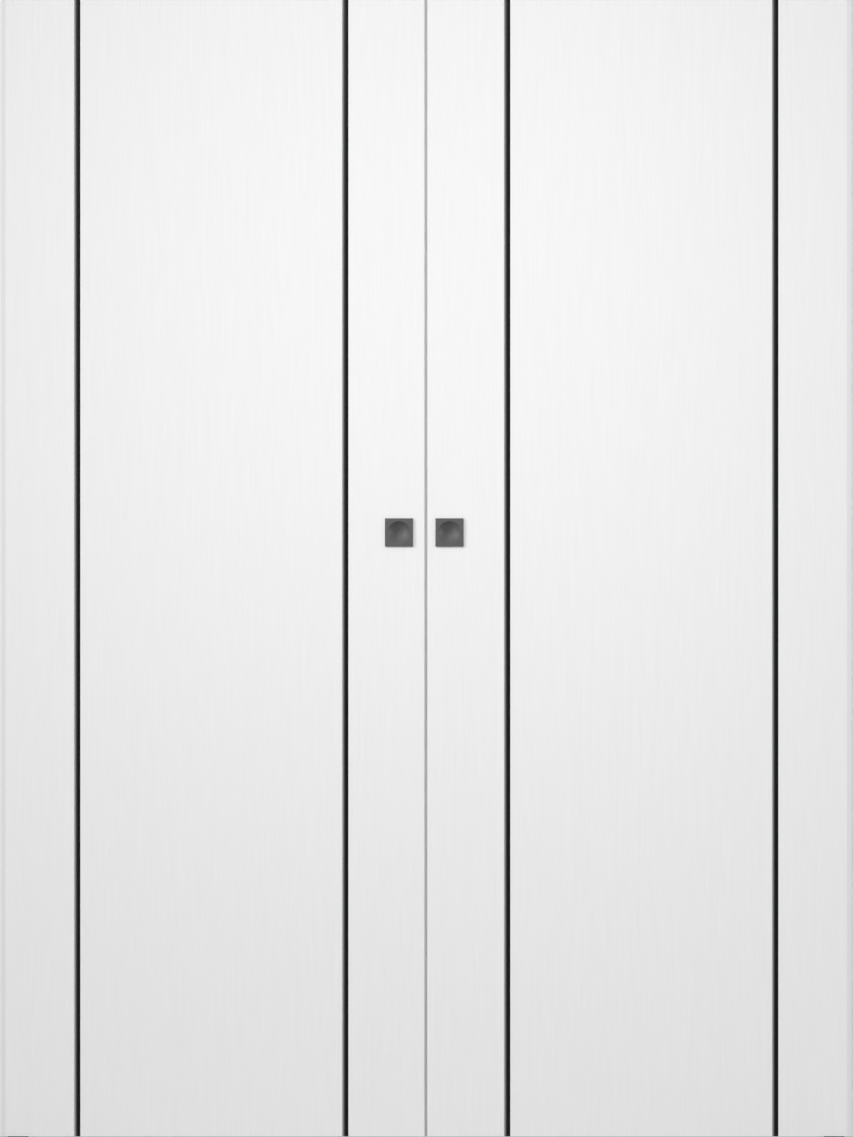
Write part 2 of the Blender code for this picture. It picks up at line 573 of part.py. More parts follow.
def make_stops(finishes):
    """The stop between the leaves, and a stop with a rubber buffer at each end of the track."""
    make_stop("centre_stop", 2 * CENTRE_STOP_END, 0, finishes)
    edge = min(BUFFER_EDGE_RADIUS, BUFFER_LENGTH - SEAT_GAP, BUFFER_DIAMETER / 2 - SEAT_GAP)
    nose = arc((BUFFER_DIAMETER / 2 - edge, edge - BUFFER_LENGTH), edge, 0, -90, CORNER_STEPS)
    profile = [(0, 0), (BUFFER_DIAMETER / 2, 0)] + nose + [(0, -BUFFER_LENGTH)]
    for side, sign in SIDES.items():
        make_stop(f"{side}_end_stop", STOP_LENGTH, sign * (STOP_FACE + STOP_LENGTH / 2), finishes)
        seat = (sign * (STOP_FACE - SEAT_GAP), 0, (TROLLEY_BOTTOM + TROLLEY_TOP) / 2)
        add_piece(f"{side}_end_buffer", turned(profile, BORE_STEPS, (sign, 0, 0)),
                  finishes["rubber"], seat, None, True)


def make_floor_guides(finishes):
    """A floor plate with an upright fin for the groove under each leaf."""
    for side, sign in SIDES.items():
        place = (sign * GUIDE_CENTRE, 0, 0)
        base = block((GUIDE_BASE_LENGTH, GUIDE_BASE_WIDTH, GUIDE_BASE_THICKNESS))
        bmesh.ops.translate(base, verts=base.verts, vec=(0, 0, GUIDE_BASE_THICKNESS / 2))
        guide = add_piece(f"{side}_floor_guide", base, finishes["stop"], place)
        fin_foot = GUIDE_BASE_THICKNESS / 2
        fin = block((GUIDE_FIN_LENGTH, GUIDE_FIN_THICKNESS, GUIDE_TOP - fin_foot))
        bmesh.ops.translate(fin, verts=fin.verts, vec=(0, 0, (GUIDE_TOP + fin_foot) / 2))
        combine(guide, add_tool(f"{side}_guide_fin_join", fin, place), "UNION")
        screws = [(end * GUIDE_SCREW_OFFSET, 0, 0) for end in (-1, 1)]
        holes = bores(screws, GUIDE_SCREW_DIAMETER / 2, 4 * GUIDE_BASE_THICKNESS, SCREW_HOLE_STEPS)
        combine(guide, add_tool(f"{side}_guide_screw_cut", holes, place))


def main():
    """Build the whole door."""
    remove_old_objects()
    finishes = make_finishes()
    make_track(finishes)
    make_stops(finishes)
    make_floor_guides(finishes)
    for side in SIDES:
        make_leaf(side, finishes)


main()
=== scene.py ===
"""Looks of a double sliding door: fine shapes, finishes, studio light and camera.

Metres, +Z up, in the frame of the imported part: the floor is at nought, the closed leaves meet
at x = 0, and the room side of the door faces -Y.
"""

import logging
import math
from collections.abc import Callable, Iterable, Sequence
from dataclasses import dataclass, field
from enum import Enum
from itertools import product

import bmesh
import bpy
from mathutils import Matrix, Vector

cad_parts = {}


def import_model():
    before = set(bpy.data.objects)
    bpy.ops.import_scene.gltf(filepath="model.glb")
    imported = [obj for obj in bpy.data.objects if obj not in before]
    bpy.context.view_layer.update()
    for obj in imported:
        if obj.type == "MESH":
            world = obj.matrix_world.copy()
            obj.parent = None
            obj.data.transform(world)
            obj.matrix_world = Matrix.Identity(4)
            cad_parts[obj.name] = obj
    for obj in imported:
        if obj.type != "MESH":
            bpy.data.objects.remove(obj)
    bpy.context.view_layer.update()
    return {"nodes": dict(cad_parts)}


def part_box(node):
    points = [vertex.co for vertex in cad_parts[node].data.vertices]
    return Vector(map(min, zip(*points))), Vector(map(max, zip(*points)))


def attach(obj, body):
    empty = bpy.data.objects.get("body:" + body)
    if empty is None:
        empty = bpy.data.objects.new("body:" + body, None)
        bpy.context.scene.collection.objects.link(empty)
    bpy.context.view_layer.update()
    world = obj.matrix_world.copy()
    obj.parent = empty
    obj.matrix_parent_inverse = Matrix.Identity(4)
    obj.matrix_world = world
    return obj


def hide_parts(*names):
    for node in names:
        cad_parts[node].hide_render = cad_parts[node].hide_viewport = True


LOG = logging.getLogger("sliding_door")

MM = 0.001

UP = Vector((0, 0, 1))
ALONG = Vector((1, 0, 0))
INTO_ROOM = Vector((0, -1, 0))
ACROSS = Vector((0, 1, 0))

# Least cosine at which a face counts as looking along an axis
SQUARE_ON = 0.5

Point = tuple[float, float]
Ring = list[Vector]
Colour = tuple[float, float, float]
Mesh = bmesh.types.BMesh
Node = bpy.types.Node
Socket = bpy.types.NodeSocket
Drawn = tuple[Socket, Socket]


class Side(Enum):
    """The two leaves, each with its direction along X away from the meeting line."""

    LEFT = -1
    RIGHT = 1

    @property
    def label(self) -> str:
        """The side's name in node and piece names."""
        return self.name.lower()

    @property
    def leaf(self) -> str:
        """The body that slides on this side."""
        return f"{self.label}_leaf"


class Face(Enum):
    """The two faces of a leaf, each with its direction along Y."""

    FRONT = -1
    BACK = 1

    @property
    def label(self) -> str:
        """The face's name in node and piece names."""
        return self.name.lower()


class Place(Enum):
    """The two ends of a leaf where it hangs and where its strips lie."""

    MEETING = "meeting"
    OUTER = "outer"


class Effect(Enum):
    """The shared shader effects."""

    STREAKS = "streaks"
    SPECKLE = "speckle"
    CHIPS = "chips"
    GROWTH_RINGS = "growth_rings"
    EDGE_WEAR = "edge_wear"
    DUST = "dust"


@dataclass(frozen=True)
class Box:
    """The lowest and highest corner of a node at rest."""

    low: Vector
    high: Vector

    @classmethod
    def of(cls, node: str) -> "Box":
        """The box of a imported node."""
        return cls(*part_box(node))

    @property
    def centre(self) -> Vector:
        """The middle of the box."""
        return (self.low + self.high) / 2

    @property
    def size(self) -> Vector:
        """The box's length along each axis."""
        return self.high - self.low

    @property
    def out(self) -> Point:
        """Nearest and farthest distance along X from the meeting line."""
        near, far = sorted((abs(self.low.x), abs(self.high.x)))
        return near, far


class NodeSheet:
    """A node tree with short calls to add nodes and fill their sockets."""

    def __init__(self, tree: bpy.types.NodeTree) -> None:
        """Keep the tree that the calls work on."""
        self.tree = tree

    def fill(self, socket: Socket, value: object) -> None:
        """Link an output socket to an input, or set the input's value.

        Args:
            socket: The input.
            value: The output socket or the plain value that it takes.
        """
        if isinstance(value, Socket):
            self.tree.links.new(value, socket)
        else:
            socket.default_value = value

    def add(self, kind: str, **sockets: object) -> Node:
        """Add a node.

        Args:
            kind: Type of the node, without the words that all shader nodes start with.
            sockets: Value or output socket for inputs, named with _ in place of a space.

        Returns:
            The new node.
        """
        node = self.tree.nodes.new(f"ShaderNode{kind}")
        for name, value in sockets.items():
            self.fill(node.inputs[name.replace("_", " ")], value)
        return node

    def place(self) -> Socket:
        """Where a point lies, in the frame of its own piece."""
        return self.add("TexCoord").outputs["Object"]

    def _pair(self, kind: str, operation: str, first: object, second: object) -> Node:
        """Add a node that works on two values.

        Args:
            kind: Type of the node.
            operation: What it does with the values.
            first: The first value or output socket.
            second: The second value or output socket.

        Returns:
            The new node.
        """
        node = self.add(kind)
        node.operation = operation
        self.fill(node.inputs[0], first)
        self.fill(node.inputs[1], second)
        return node

    def math(self, operation: str, first: object, second: object) -> Socket:
        """Work on two numbers and return the result."""
        return self._pair("Math", operation, first, second).outputs[0]

    def vector(self, operation: str, first: object, second: object) -> Node:
        """Add a node that works on two vectors."""
        return self._pair("VectorMath", operation, first, second)

    def _mix(self, kind: str, data_type: str, values: Sequence[object]) -> Socket:
        """Mix two values.

        Args:
            kind: Ending of the sockets' names.
            data_type: Type of the values.
            values: The share of the second value, the first value and the second value.

        Returns:
            The mixed value.
        """
        node = self.add("Mix")
        node.data_type = data_type
        inputs = {socket.identifier: socket for socket in node.inputs}
        outputs = {socket.identifier: socket for socket in node.outputs}
        for name, value in zip(("Factor_Float", f"A_{kind}", f"B_{kind}"), values):
            self.fill(inputs[name], value)
        return outputs[f"Result_{kind}"]

    def blend(self, share: object, first: object, second: object) -> Socket:
        """Mix two colours and return the result."""
        return self._mix("Color", "RGBA", (share, first, second))

    def either(self, flag: object, off: object, on: object) -> Socket:
        """Mix two numbers, or take one of them by a flag of nought or one, and return it."""
        return self._mix("Float", "FLOAT", (flag, off, on))

    def ranged(self, value: object, span: Point, levels: Point = (0.0, 1.0)) -> Socket:
        """Stretch a range of values to another.

        Args:
            value: The value or output socket.
            span: The ends of the range that it comes from, in either order.
            levels: What it becomes at those ends and past them.

        Returns:
            The new value.
        """
        node = self.add("MapRange", Value=value, From_Min=span[0], From_Max=span[1],
                        To_Min=levels[0], To_Max=levels[1])
        return node.outputs["Result"]


class EffectLibrary:
    """The shared effects, each built once as a shader node group with a mask and a height.

    Attributes:
        BROAD_SCALE: Scale of the broad streaks, where that of the fine ones is one.
        STREAK_SPAN: Heights between which the mask of the streaks grows.
        SPECKLE_SPAN: Heights between which the mask of the grains grows.
        LATE_WOOD_POWER: Power that narrows the late wood.
        WEAR_SAMPLES: Samples of the bevel that finds the edges.
        WEAR_SPAN: Cosines of bevelled and plain normal between which wear grows.
        PATCH_SPAN: Heights between which the patches of wear grow.
        DUST_TILT: Upward shares of the normal between which dust grows.
        DRIFT_SPAN: Heights between which the drifts of dust grow.
    """

    BROAD_SCALE = 0.16
    STREAK_SPAN = (0.36, 0.64)
    SPECKLE_SPAN = (0.42, 0.66)
    LATE_WOOD_POWER = 2.0
    WEAR_SAMPLES = 4
    WEAR_SPAN = (0.985, 0.85)
    PATCH_SPAN = (0.35, 0.6)
    DUST_TILT = (0.5, 1.0)
    DRIFT_SPAN = (0.3, 0.75)

    def __init__(self) -> None:
        """Build all the groups, each with the defaults of its input sockets."""
        recipes = {
            Effect.STREAKS: (self._streaks, {"Stretch": (400.0, 400.0, 8.0), "Broad": 0.35}),
            Effect.SPECKLE: (self._speckle, {"Scale": 900.0}),
            Effect.CHIPS: (self._chips, {"Scale": 260.0}),
            Effect.GROWTH_RINGS: (self._growth_rings, {"Stretch": (60.0, 60.0, 3.0)}),
            Effect.EDGE_WEAR: (self._edge_wear, {"Radius": 0.5 * MM, "Scale": 600.0}),
            Effect.DUST: (self._dust, {"Scale": 60.0}),
        }
        self.groups = {effect: self._group(effect.value, *recipe)
                       for effect, recipe in recipes.items()}

    @staticmethod
    def _group(name: str, draw: Callable[[NodeSheet, Node], Drawn],
               inputs: dict[str, object]) -> bpy.types.NodeTree:
        """Build one group.

        Args:
            name: Name of the group.
            draw: Draws the effect on the group's sheet from the group's input node.
            inputs: Default of each input socket, a number or three numbers.

        Returns:
            The group.
        """
        group = bpy.data.node_groups.new(name, "ShaderNodeTree")
        for label, default in inputs.items():
            kind = "NodeSocketFloat" if isinstance(default, float) else "NodeSocketVector"
            socket = group.interface.new_socket(label, in_out="INPUT", socket_type=kind)
            socket.default_value = default
        outputs = ("Mask", "Height")
        for label in outputs:
            group.interface.new_socket(label, in_out="OUTPUT", socket_type="NodeSocketFloat")
        sheet = NodeSheet(group)
        drawn = draw(sheet, group.nodes.new("NodeGroupInput"))
        last = group.nodes.new("NodeGroupOutput")
        for label, socket in zip(outputs, drawn):
            sheet.fill(last.inputs[label], socket)
        return group

    def _streaks(self, sheet: NodeSheet, given: Node) -> Drawn:
        """Fine lines drawn out along one axis: laminate grain, brushing, fibres.

        Args:
            sheet: The group's sheet.
            given: The group's input node.

        Returns:
            Mask and height.
        """
        drawn = sheet.vector("MULTIPLY", sheet.place(), given.outputs["Stretch"]).outputs[0]
        fine = sheet.add("TexNoise", Vector=drawn, Scale=1.0, Detail=4.0, Roughness=0.65)
        broad = sheet.add("TexNoise", Vector=drawn, Scale=self.BROAD_SCALE, Detail=2.0)
        height = sheet.either(given.outputs["Broad"], fine.outputs[0], broad.outputs[0])
        return sheet.ranged(height, self.STREAK_SPAN), height

    def _speckle(self, sheet: NodeSheet, given: Node) -> Drawn:
        """Small soft grains: blasted, moulded and cast skins, pressed fibres.

        Args:
            sheet: The group's sheet.
            given: The group's input node.

        Returns:
            Mask and height.
        """
        grain = sheet.add("TexNoise", Vector=sheet.place(), Scale=given.outputs["Scale"],
                          Detail=3.0)
        height = grain.outputs[0]
        return sheet.ranged(height, self.SPECKLE_SPAN), height

    def _chips(self, sheet: NodeSheet, given: Node) -> Drawn:
        """Flat flakes, each of its own tone.

        Args:
            sheet: The group's sheet.
            given: The group's input node.

        Returns:
            Mask and height.
        """
        flakes = sheet.add("TexVoronoi", Vector=sheet.place(), Scale=given.outputs["Scale"])
        tone = sheet.add("SeparateColor", Color=flakes.outputs["Color"]).outputs["Red"]
        return tone, flakes.outputs["Distance"]

    def _growth_rings(self, sheet: NodeSheet, given: Node) -> Drawn:
        """Early and late wood as wavering bands along a board.

        Args:
            sheet: The group's sheet.
            given: The group's input node.

        Returns:
            Mask and height.
        """
        drawn = sheet.vector("MULTIPLY", sheet.place(), given.outputs["Stretch"]).outputs[0]
        bands = sheet.add("TexWave", Vector=drawn, Scale=1.0, Distortion=5.0, Detail=3.0,
                          Detail_Scale=0.8)
        bands.bands_direction = "DIAGONAL"
        tone = bands.outputs["Fac"]
        return sheet.math("POWER", tone, self.LATE_WOOD_POWER), tone

    def _edge_wear(self, sheet: NodeSheet, given: Node) -> Drawn:
        """Rubbed edges, in patches.

        Args:
            sheet: The group's sheet.
            given: The group's input node.

        Returns:
            Mask and height.
        """
        rounded = sheet.add("Bevel", Radius=given.outputs["Radius"])
        rounded.samples = self.WEAR_SAMPLES
        flat = sheet.add("NewGeometry").outputs["Normal"]
        likeness = sheet.vector("DOT_PRODUCT", rounded.outputs[0], flat).outputs["Value"]
        edge = sheet.ranged(likeness, self.WEAR_SPAN)
        patches = sheet.add("TexNoise", Vector=sheet.place(), Scale=given.outputs["Scale"],
                            Detail=2.0).outputs[0]
        return sheet.math("MULTIPLY", edge, sheet.ranged(patches, self.PATCH_SPAN)), patches

    def _dust(self, sheet: NodeSheet, given: Node) -> Drawn:
        """Thin dust on what faces up.

        Args:
            sheet: The group's sheet.
            given: The group's input node.

        Returns:
            Mask and height.
        """
        facing = sheet.add("SeparateXYZ", Vector=sheet.add("NewGeometry").outputs["Normal"])
        level = sheet.ranged(facing.outputs["Z"], self.DUST_TILT)
        drift = sheet.add("TexNoise", Vector=sheet.place(), Scale=given.outputs["Scale"],
                          Detail=4.0).outputs[0]
        return sheet.math("MULTIPLY", level, sheet.ranged(drift, self.DRIFT_SPAN)), drift


@dataclass(frozen=True)
class Layer:
    """One shared effect laid over a finish.

    Attributes:
        effect: Which effect.
        colour: Colour where the effect's mask is full.
        amount: Share of that colour at a full mask.
        sockets: Settings of the effect, by the name of its socket.
        roughness: Change of roughness at a full mask.
        relief: Depth of the bump that the effect's height makes, nought for none.
    """

    effect: Effect
    colour: Colour
    amount: float
    sockets: dict[str, object] = field(default_factory=dict)
    roughness: float = 0.0
    relief: float = 0.0


@dataclass(frozen=True)
class Finish:
    """A surface: one Principled shader under layers of the shared effects.

    Attributes:
        name: Name of the material.
        colour: Base colour.
        roughness: Base roughness.
        layers: Effects, from the lowest to the topmost.
        metallic: How far it is bare metal.
        specular: Specular level of the shader.
    """

    name: str
    colour: Colour
    roughness: float
    layers: tuple[Layer, ...]
    metallic: float = 0.0
    specular: float = 0.5

    def material(self, effects: EffectLibrary) -> bpy.types.Material:
        """Build the finish as a material.

        Args:
            effects: The shared effects that the layers use.

        Returns:
            The new material.
        """
        material = bpy.data.materials.new(self.name)
        material.use_nodes = True
        sheet = NodeSheet(material.node_tree)
        shader = material.node_tree.nodes["Principled BSDF"]
        shader.inputs["Metallic"].default_value = self.metallic
        shader.inputs["Specular IOR Level"].default_value = self.specular
        shader.inputs["Roughness"].default_value = self.roughness
        colour, roughness, normal = (*self.colour, 1.0), self.roughness, None
        for layer in self.layers:
            group = sheet.add("Group")
            group.node_tree = effects.groups[layer.effect]
            for name, value in layer.sockets.items():
                group.inputs[name].default_value = value
            mask = group.outputs["Mask"]
            colour = sheet.blend(sheet.math("MULTIPLY", mask, layer.amount), colour,
                                 (*layer.colour, 1.0))
            if layer.roughness:
                roughness = sheet.math("ADD", sheet.math("MULTIPLY", mask, layer.roughness),
                                       roughness)
            if layer.relief:
                bump = sheet.add("Bump", Height=group.outputs["Height"], Distance=layer.relief)
                if normal is not None:
                    sheet.fill(bump.inputs["Normal"], normal)
                normal = bump.outputs["Normal"]
        sheet.fill(shader.inputs["Base Color"], colour)
        sheet.fill(shader.inputs["Roughness"], roughness)
        if normal is not None:
            sheet.fill(shader.inputs["Normal"], normal)
        return material


def grey(level: float) -> Colour:
    """A neutral colour."""
    return level, level, level


DUST = Layer(Effect.DUST, (0.55, 0.53, 0.5), 0.22, roughness=0.2)
LIGHT_DUST = Layer(Effect.DUST, (0.6, 0.58, 0.55), 0.1, roughness=0.15)


def edging(name: str, tone: float, streak_tone: float, roughness: float) -> Finish:
    """An edge band with a faint upright grain, greyer than the laminate to paint shade on the
    leaf's edges.

    Args:
        name: Name of the material.
        tone: Its grey, below the laminate's white to paint the shade on the edge.
        streak_tone: Grey of the grain.
        roughness: Its roughness.

    Returns:
        The finish.
    """
    grain = Layer(Effect.STREAKS, grey(streak_tone), 0.8, {"Stretch": (700.0, 700.0, 9.0)}, 0.05,
                  0.008 * MM)
    return Finish(name, grey(tone), roughness, (grain, LIGHT_DUST), specular=0.4)


def pine(name: str, grain: Vector) -> Finish:
    """Planed pine.

    Args:
        name: Name of the material.
        grain: Axis that the grain follows.

    Returns:
        The finish.
    """
    def drawn(along: float, across: float) -> Colour:
        """Scale of an effect along and across the grain, for each axis."""
        return tuple(along if share else across for share in grain)

    return Finish(name, (0.7, 0.53, 0.33), 0.65, (
        Layer(Effect.GROWTH_RINGS, (0.53, 0.34, 0.17), 0.6, {"Stretch": drawn(4.0, 110.0)},
              -0.06, 0.04 * MM),
        Layer(Effect.STREAKS, (0.6, 0.42, 0.23), 0.45, {"Stretch": drawn(12.0, 900.0)},
              relief=0.03 * MM),
        LIGHT_DUST,
    ), specular=0.3)


class Surface(Enum):
    """Every finish on the door."""

    LAMINATE = Finish("white_laminate", grey(0.89), 0.46, (
        Layer(Effect.STREAKS, grey(0.846), 0.85, {"Stretch": (780.0, 780.0, 11.0), "Broad": 0.03},
              0.05, 0.012 * MM),
        Layer(Effect.SPECKLE, grey(0.9), 0.25, {"Scale": 2200.0}),
    ), specular=0.3)
    # Outer lipping: greyer than the laminate, to paint the shade along the leaf's outer border.
    EDGING = edging("white_edging", 0.79, 0.775, 0.42)
    # Meeting band: grey, to paint the shade of the line where the leaves meet, on its bevels.
    MEETING_EDGING = edging("pale_grey_edging", 0.66, 0.6, 0.45)
    RAW_BOARD = Finish("raw_fibreboard", (0.47, 0.35, 0.225), 0.85, (
        Layer(Effect.SPECKLE, (0.33, 0.23, 0.14), 0.6, {"Scale": 1500.0}, relief=0.05 * MM),
        Layer(Effect.CHIPS, (0.58, 0.45, 0.3), 0.3, {"Scale": 1900.0}),
        LIGHT_DUST,
    ), specular=0.2)
    PINE_UPRIGHT = pine("planed_pine_upright", UP)
    PINE_RAIL = pine("planed_pine_rail", ALONG)
    PARTICLE = Finish("pressed_particles", (0.52, 0.39, 0.25), 0.85, (
        Layer(Effect.CHIPS, (0.7, 0.56, 0.38), 0.75, {"Scale": 320.0}, relief=0.1 * MM),
        Layer(Effect.SPECKLE, (0.3, 0.2, 0.12), 0.5, {"Scale": 700.0}, relief=0.05 * MM),
    ), specular=0.2)
    BLACK_STRIP = Finish("black_anodised", grey(0.004), 0.22, (
        Layer(Effect.STREAKS, grey(0.007), 0.8, {"Stretch": (2600.0, 2600.0, 14.0)}, 0.04,
              0.002 * MM),
        Layer(Effect.SPECKLE, grey(0.003), 0.4, {"Scale": 3000.0}),
    ), specular=1.0)
    GRAPHITE = Finish("satin_graphite", grey(0.095), 0.5, (
        Layer(Effect.SPECKLE, grey(0.118), 0.6, {"Scale": 2600.0}, 0.06, 0.015 * MM),
        Layer(Effect.EDGE_WEAR, grey(0.2), 0.4, {"Radius": 0.5 * MM, "Scale": 900.0}, -0.06),
    ), specular=0.4)
    ZINC_STEEL = Finish("bright_zinc", (0.6, 0.61, 0.63), 0.3, (
        Layer(Effect.SPECKLE, (0.48, 0.49, 0.53), 0.5, {"Scale": 240.0}, 0.12, 0.01 * MM),
        Layer(Effect.EDGE_WEAR, (0.78, 0.78, 0.78), 0.6, {"Radius": 0.4 * MM}, -0.08),
        LIGHT_DUST,
    ), metallic=1.0)
    CAST_ZINC = Finish("cast_zinc", (0.4, 0.41, 0.43), 0.5, (
        Layer(Effect.SPECKLE, (0.3, 0.31, 0.33), 0.6, {"Scale": 700.0}, 0.15, 0.06 * MM),
        Layer(Effect.EDGE_WEAR, (0.6, 0.6, 0.61), 0.7, {"Radius": 0.6 * MM}, -0.12),
    ), metallic=0.9)
    GREY_NYLON = Finish("grey_nylon", (0.19, 0.19, 0.2), 0.46, (
        Layer(Effect.SPECKLE, (0.14, 0.14, 0.15), 0.6, {"Scale": 1500.0}, 0.1, 0.02 * MM),
        Layer(Effect.EDGE_WEAR, (0.3, 0.3, 0.31), 0.5, {"Radius": 0.5 * MM}),
    ))
    ALUMINIUM = Finish("anodised_aluminium", (0.66, 0.67, 0.68), 0.3, (
        Layer(Effect.STREAKS, (0.55, 0.56, 0.575), 0.6, {"Stretch": (6.0, 2200.0, 2200.0)}, 0.12,
              0.008 * MM),
        Layer(Effect.EDGE_WEAR, (0.8, 0.8, 0.8), 0.4, {"Radius": 0.4 * MM}, -0.05),
        LIGHT_DUST,
    ), metallic=1.0)
    BLACK_NYLON = Finish("black_nylon", grey(0.026), 0.5, (
        Layer(Effect.SPECKLE, grey(0.04), 0.6, {"Scale": 1300.0}, 0.1, 0.03 * MM),
        Layer(Effect.EDGE_WEAR, grey(0.085), 0.5, {"Radius": 0.6 * MM}),
        DUST,
    ))
    RUBBER = Finish("buffer_rubber", grey(0.018), 0.78, (
        Layer(Effect.SPECKLE, grey(0.032), 0.7, {"Scale": 1100.0}, 0.08, 0.04 * MM),
        LIGHT_DUST,
    ), specular=0.3)
    STUDIO_FLOOR = Finish("studio_floor", grey(0.56), 0.6, (
        Layer(Effect.SPECKLE, grey(0.54), 0.5, {"Scale": 180.0}, 0.1),
    ), specular=0.2)


def arc(centre: Point, radius: float, start: float, end: float, steps: int) -> list[Point]:
    """Points of an arc in a plane.

    Args:
        centre: Centre of the arc.
        radius: Radius of the arc.
        start: Angle of the first point, in degrees.
        end: Angle of the last point, in degrees.
        steps: Number of chords.

    Returns:
        One point more than there are chords.
    """
    points = []
    for step in range(steps + 1):
        angle = math.radians(start + (end - start) * step / steps)
        points.append((centre[0] + radius * math.cos(angle),
                       centre[1] + radius * math.sin(angle)))
    return points


def rounded_rectangle(half_x: float, half_y: float, radius: float, corner_steps: int,
                      side_steps: int = 1) -> list[Point]:
    """Outline of a rectangle with round corners, anticlockwise from its right side.

    Args:
        half_x: Half of its length along the first axis.
        half_y: Half of its length along the second axis.
        radius: Radius of its corners.
        corner_steps: Chords in each corner.
        side_steps: Chords in each straight side.

    Returns:
        The points of the closed outline.
    """
    corners = []
    for quarter, (x_sign, y_sign) in enumerate([(1, 1), (-1, 1), (-1, -1), (1, -1)]):
        centre = (x_sign * (half_x - radius), y_sign * (half_y - radius))
        corners.append(arc(centre, radius, 90 * quarter, 90 * quarter + 90, corner_steps))
    outline = []
    for corner, following in zip(corners, corners[1:] + corners[:1]):
        outline += corner
        (x_from, y_from), (x_to, y_to) = corner[-1], following[0]
        for step in range(1, side_steps):
            share = step / side_steps
            outline.append((x_from + (x_to - x_from) * share, y_from + (y_to - y_from) * share))
    return outline


def ring_of(outline: Iterable[Point], height: float) -> Ring:
    """A ring that follows an outline at one height."""
    return [Vector((first, second, height)) for first, second in outline]


def circle(radius: float, height: float, steps: int) -> Ring:
    """A round ring.

    Args:
        radius: Its radius.
        height: Its height.
        steps: Number of its points.

    Returns:
        The ring, or a single point where the radius is nought.
    """
    if radius == 0:
        return [Vector((0, 0, height))]
    return ring_of(arc((0, 0), radius, 0, 360, steps)[:-1], height)


def hexagon(across_flats: float, height: float, steps: int) -> Ring:
    """A six-sided ring.

    Args:
        across_flats: Its width across two flats.
        height: Its height.
        steps: Number of its points, a multiple of six.

    Returns:
        The ring, with as many points as a round one.
    """
    ring = []
    for point in circle(1, height, steps):
        angle = math.atan2(point.y, point.x)
        off_flat = (angle % (math.pi / 3)) - math.pi / 6
        reach = across_flats / 2 / math.cos(off_flat)
        ring.append(Vector((reach * point.x, reach * point.y, height)))
    return ring


def radial(outline: Iterable[Point], radius: float, height: float) -> Ring:
    """A round ring whose points lie in the directions of an outline's points.

    Args:
        outline: Gives the directions.
        radius: Radius of the ring.
        height: Its height.

    Returns:
        The ring.
    """
    ring = []
    for first, second in outline:
        reach = radius / math.hypot(first, second)
        ring.append(Vector((first * reach, second * reach, height)))
    return ring


def threaded(radius: float, depth: float, pitch: float, low: float, high: float,
             steps: int) -> list[Ring]:
    """Rings of a screw thread that winds up along +Z and dies away at both ends.

    Args:
        radius: Radius over the crests.
        depth: Height of the crests over the roots.
        pitch: Rise of one turn.
        low: Height of the first ring.
        high: Height of the last ring.
        steps: Points in each ring.

    Returns:
        The rings from the lowest to the highest.
    """
    rows_per_turn = 5
    rows = max(2, round((high - low) / pitch * rows_per_turn))
    rings = []
    for row in range(rows + 1):
        height = low + (high - low) * row / rows
        fade = min(1, (height - low) / pitch, (high - height) / pitch)
        ring = []
        for point in circle(1, height, steps):
            turn = math.atan2(point.y, point.x) / (2 * math.pi)
            phase = (height / pitch - turn) % 1
            reach = radius - depth * fade * abs(2 * phase - 1)
            ring.append(Vector((reach * point.x, reach * point.y, height)))
        rings.append(ring)
    return rings


def loft(rings: Sequence[Ring], is_loop: bool = False) -> Mesh:
    """Skin a row of rings that have equal counts of points or are single points.

    Args:
        rings: The rings in order.
        is_loop: Whether the last ring joins the first, as around a bore.

    Returns:
        A closed mesh, with flat caps where the row ends in a ring.
    """
    mesh = bmesh.new()
    grid = [[mesh.verts.new(point) for point in ring] for ring in rings]
    pairs = list(zip(grid, grid[1:]))
    if is_loop:
        pairs.append((grid[-1], grid[0]))
    for lower, upper in pairs:
        count = max(len(lower), len(upper))
        for index in range(count):
            following = (index + 1) % count
            corners = [lower[index % len(lower)], lower[following % len(lower)],
                       upper[following % len(upper)], upper[index % len(upper)]]
            mesh.faces.new(list(dict.fromkeys(corners)))
    if not is_loop:
        for end in (grid[0], grid[-1]):
            if len(end) > 1:
                mesh.faces.new(end)
    bmesh.ops.recalc_face_normals(mesh, faces=mesh.faces)
    return mesh


def turned(profile: Iterable[Point], steps: int, is_loop: bool = False) -> Mesh:
    """Turn a profile of (radius, height) points about +Z."""
    return loft([circle(radius, height, steps) for radius, height in profile], is_loop)


def rod(radius: float, low: float, high: float, steps: int) -> Mesh:
    """A round bar about +Z between two heights."""
    return turned([(0, low), (radius, low), (radius, high), (0, high)], steps)


def upright(outline: Iterable[Point], low: float, high: float) -> Mesh:
    """Extrude a closed plan outline of (x, y) points between two heights."""
    outline = list(outline)
    return loft([ring_of(outline, low), ring_of(outline, high)])


def block(half_x: float, half_y: float, low: float, high: float) -> Mesh:
    """A square-edged block about +Z between two heights."""
    corners = ((1, 1), (-1, 1), (-1, -1), (1, -1))
    return upright([(x * half_x, y * half_y) for x, y in corners], low, high)


def lengthwise(outline: Iterable[Point], low: float, high: float) -> Mesh:
    """Extrude a closed outline of (y, z) points between two places along X."""
    outline = list(outline)
    return loft([[Vector((place, *point)) for point in outline] for place in (low, high)])


def moved(mesh: Mesh, place: Vector, axis: Vector = UP) -> Mesh:
    """Carry a mesh from the origin to a place.

    Args:
        mesh: The mesh, which is changed.
        place: Where its origin goes.
        axis: Where its +Z points afterwards.

    Returns:
        The same mesh.
    """
    turn = UP.rotation_difference(axis).to_matrix().to_4x4()
    bmesh.ops.transform(mesh, matrix=Matrix.Translation(place) @ turn, verts=mesh.verts)
    return mesh


def gathered(meshes: Iterable[Mesh]) -> Mesh:
    """Put several meshes into one, as separate bodies.

    Args:
        meshes: The meshes, which are used up.

    Returns:
        The one mesh.
    """
    whole = bmesh.new()
    for mesh in meshes:
        carrier = bpy.data.meshes.new("carrier")
        mesh.to_mesh(carrier)
        mesh.free()
        whole.from_mesh(carrier)
        bpy.data.meshes.remove(carrier)
    return whole


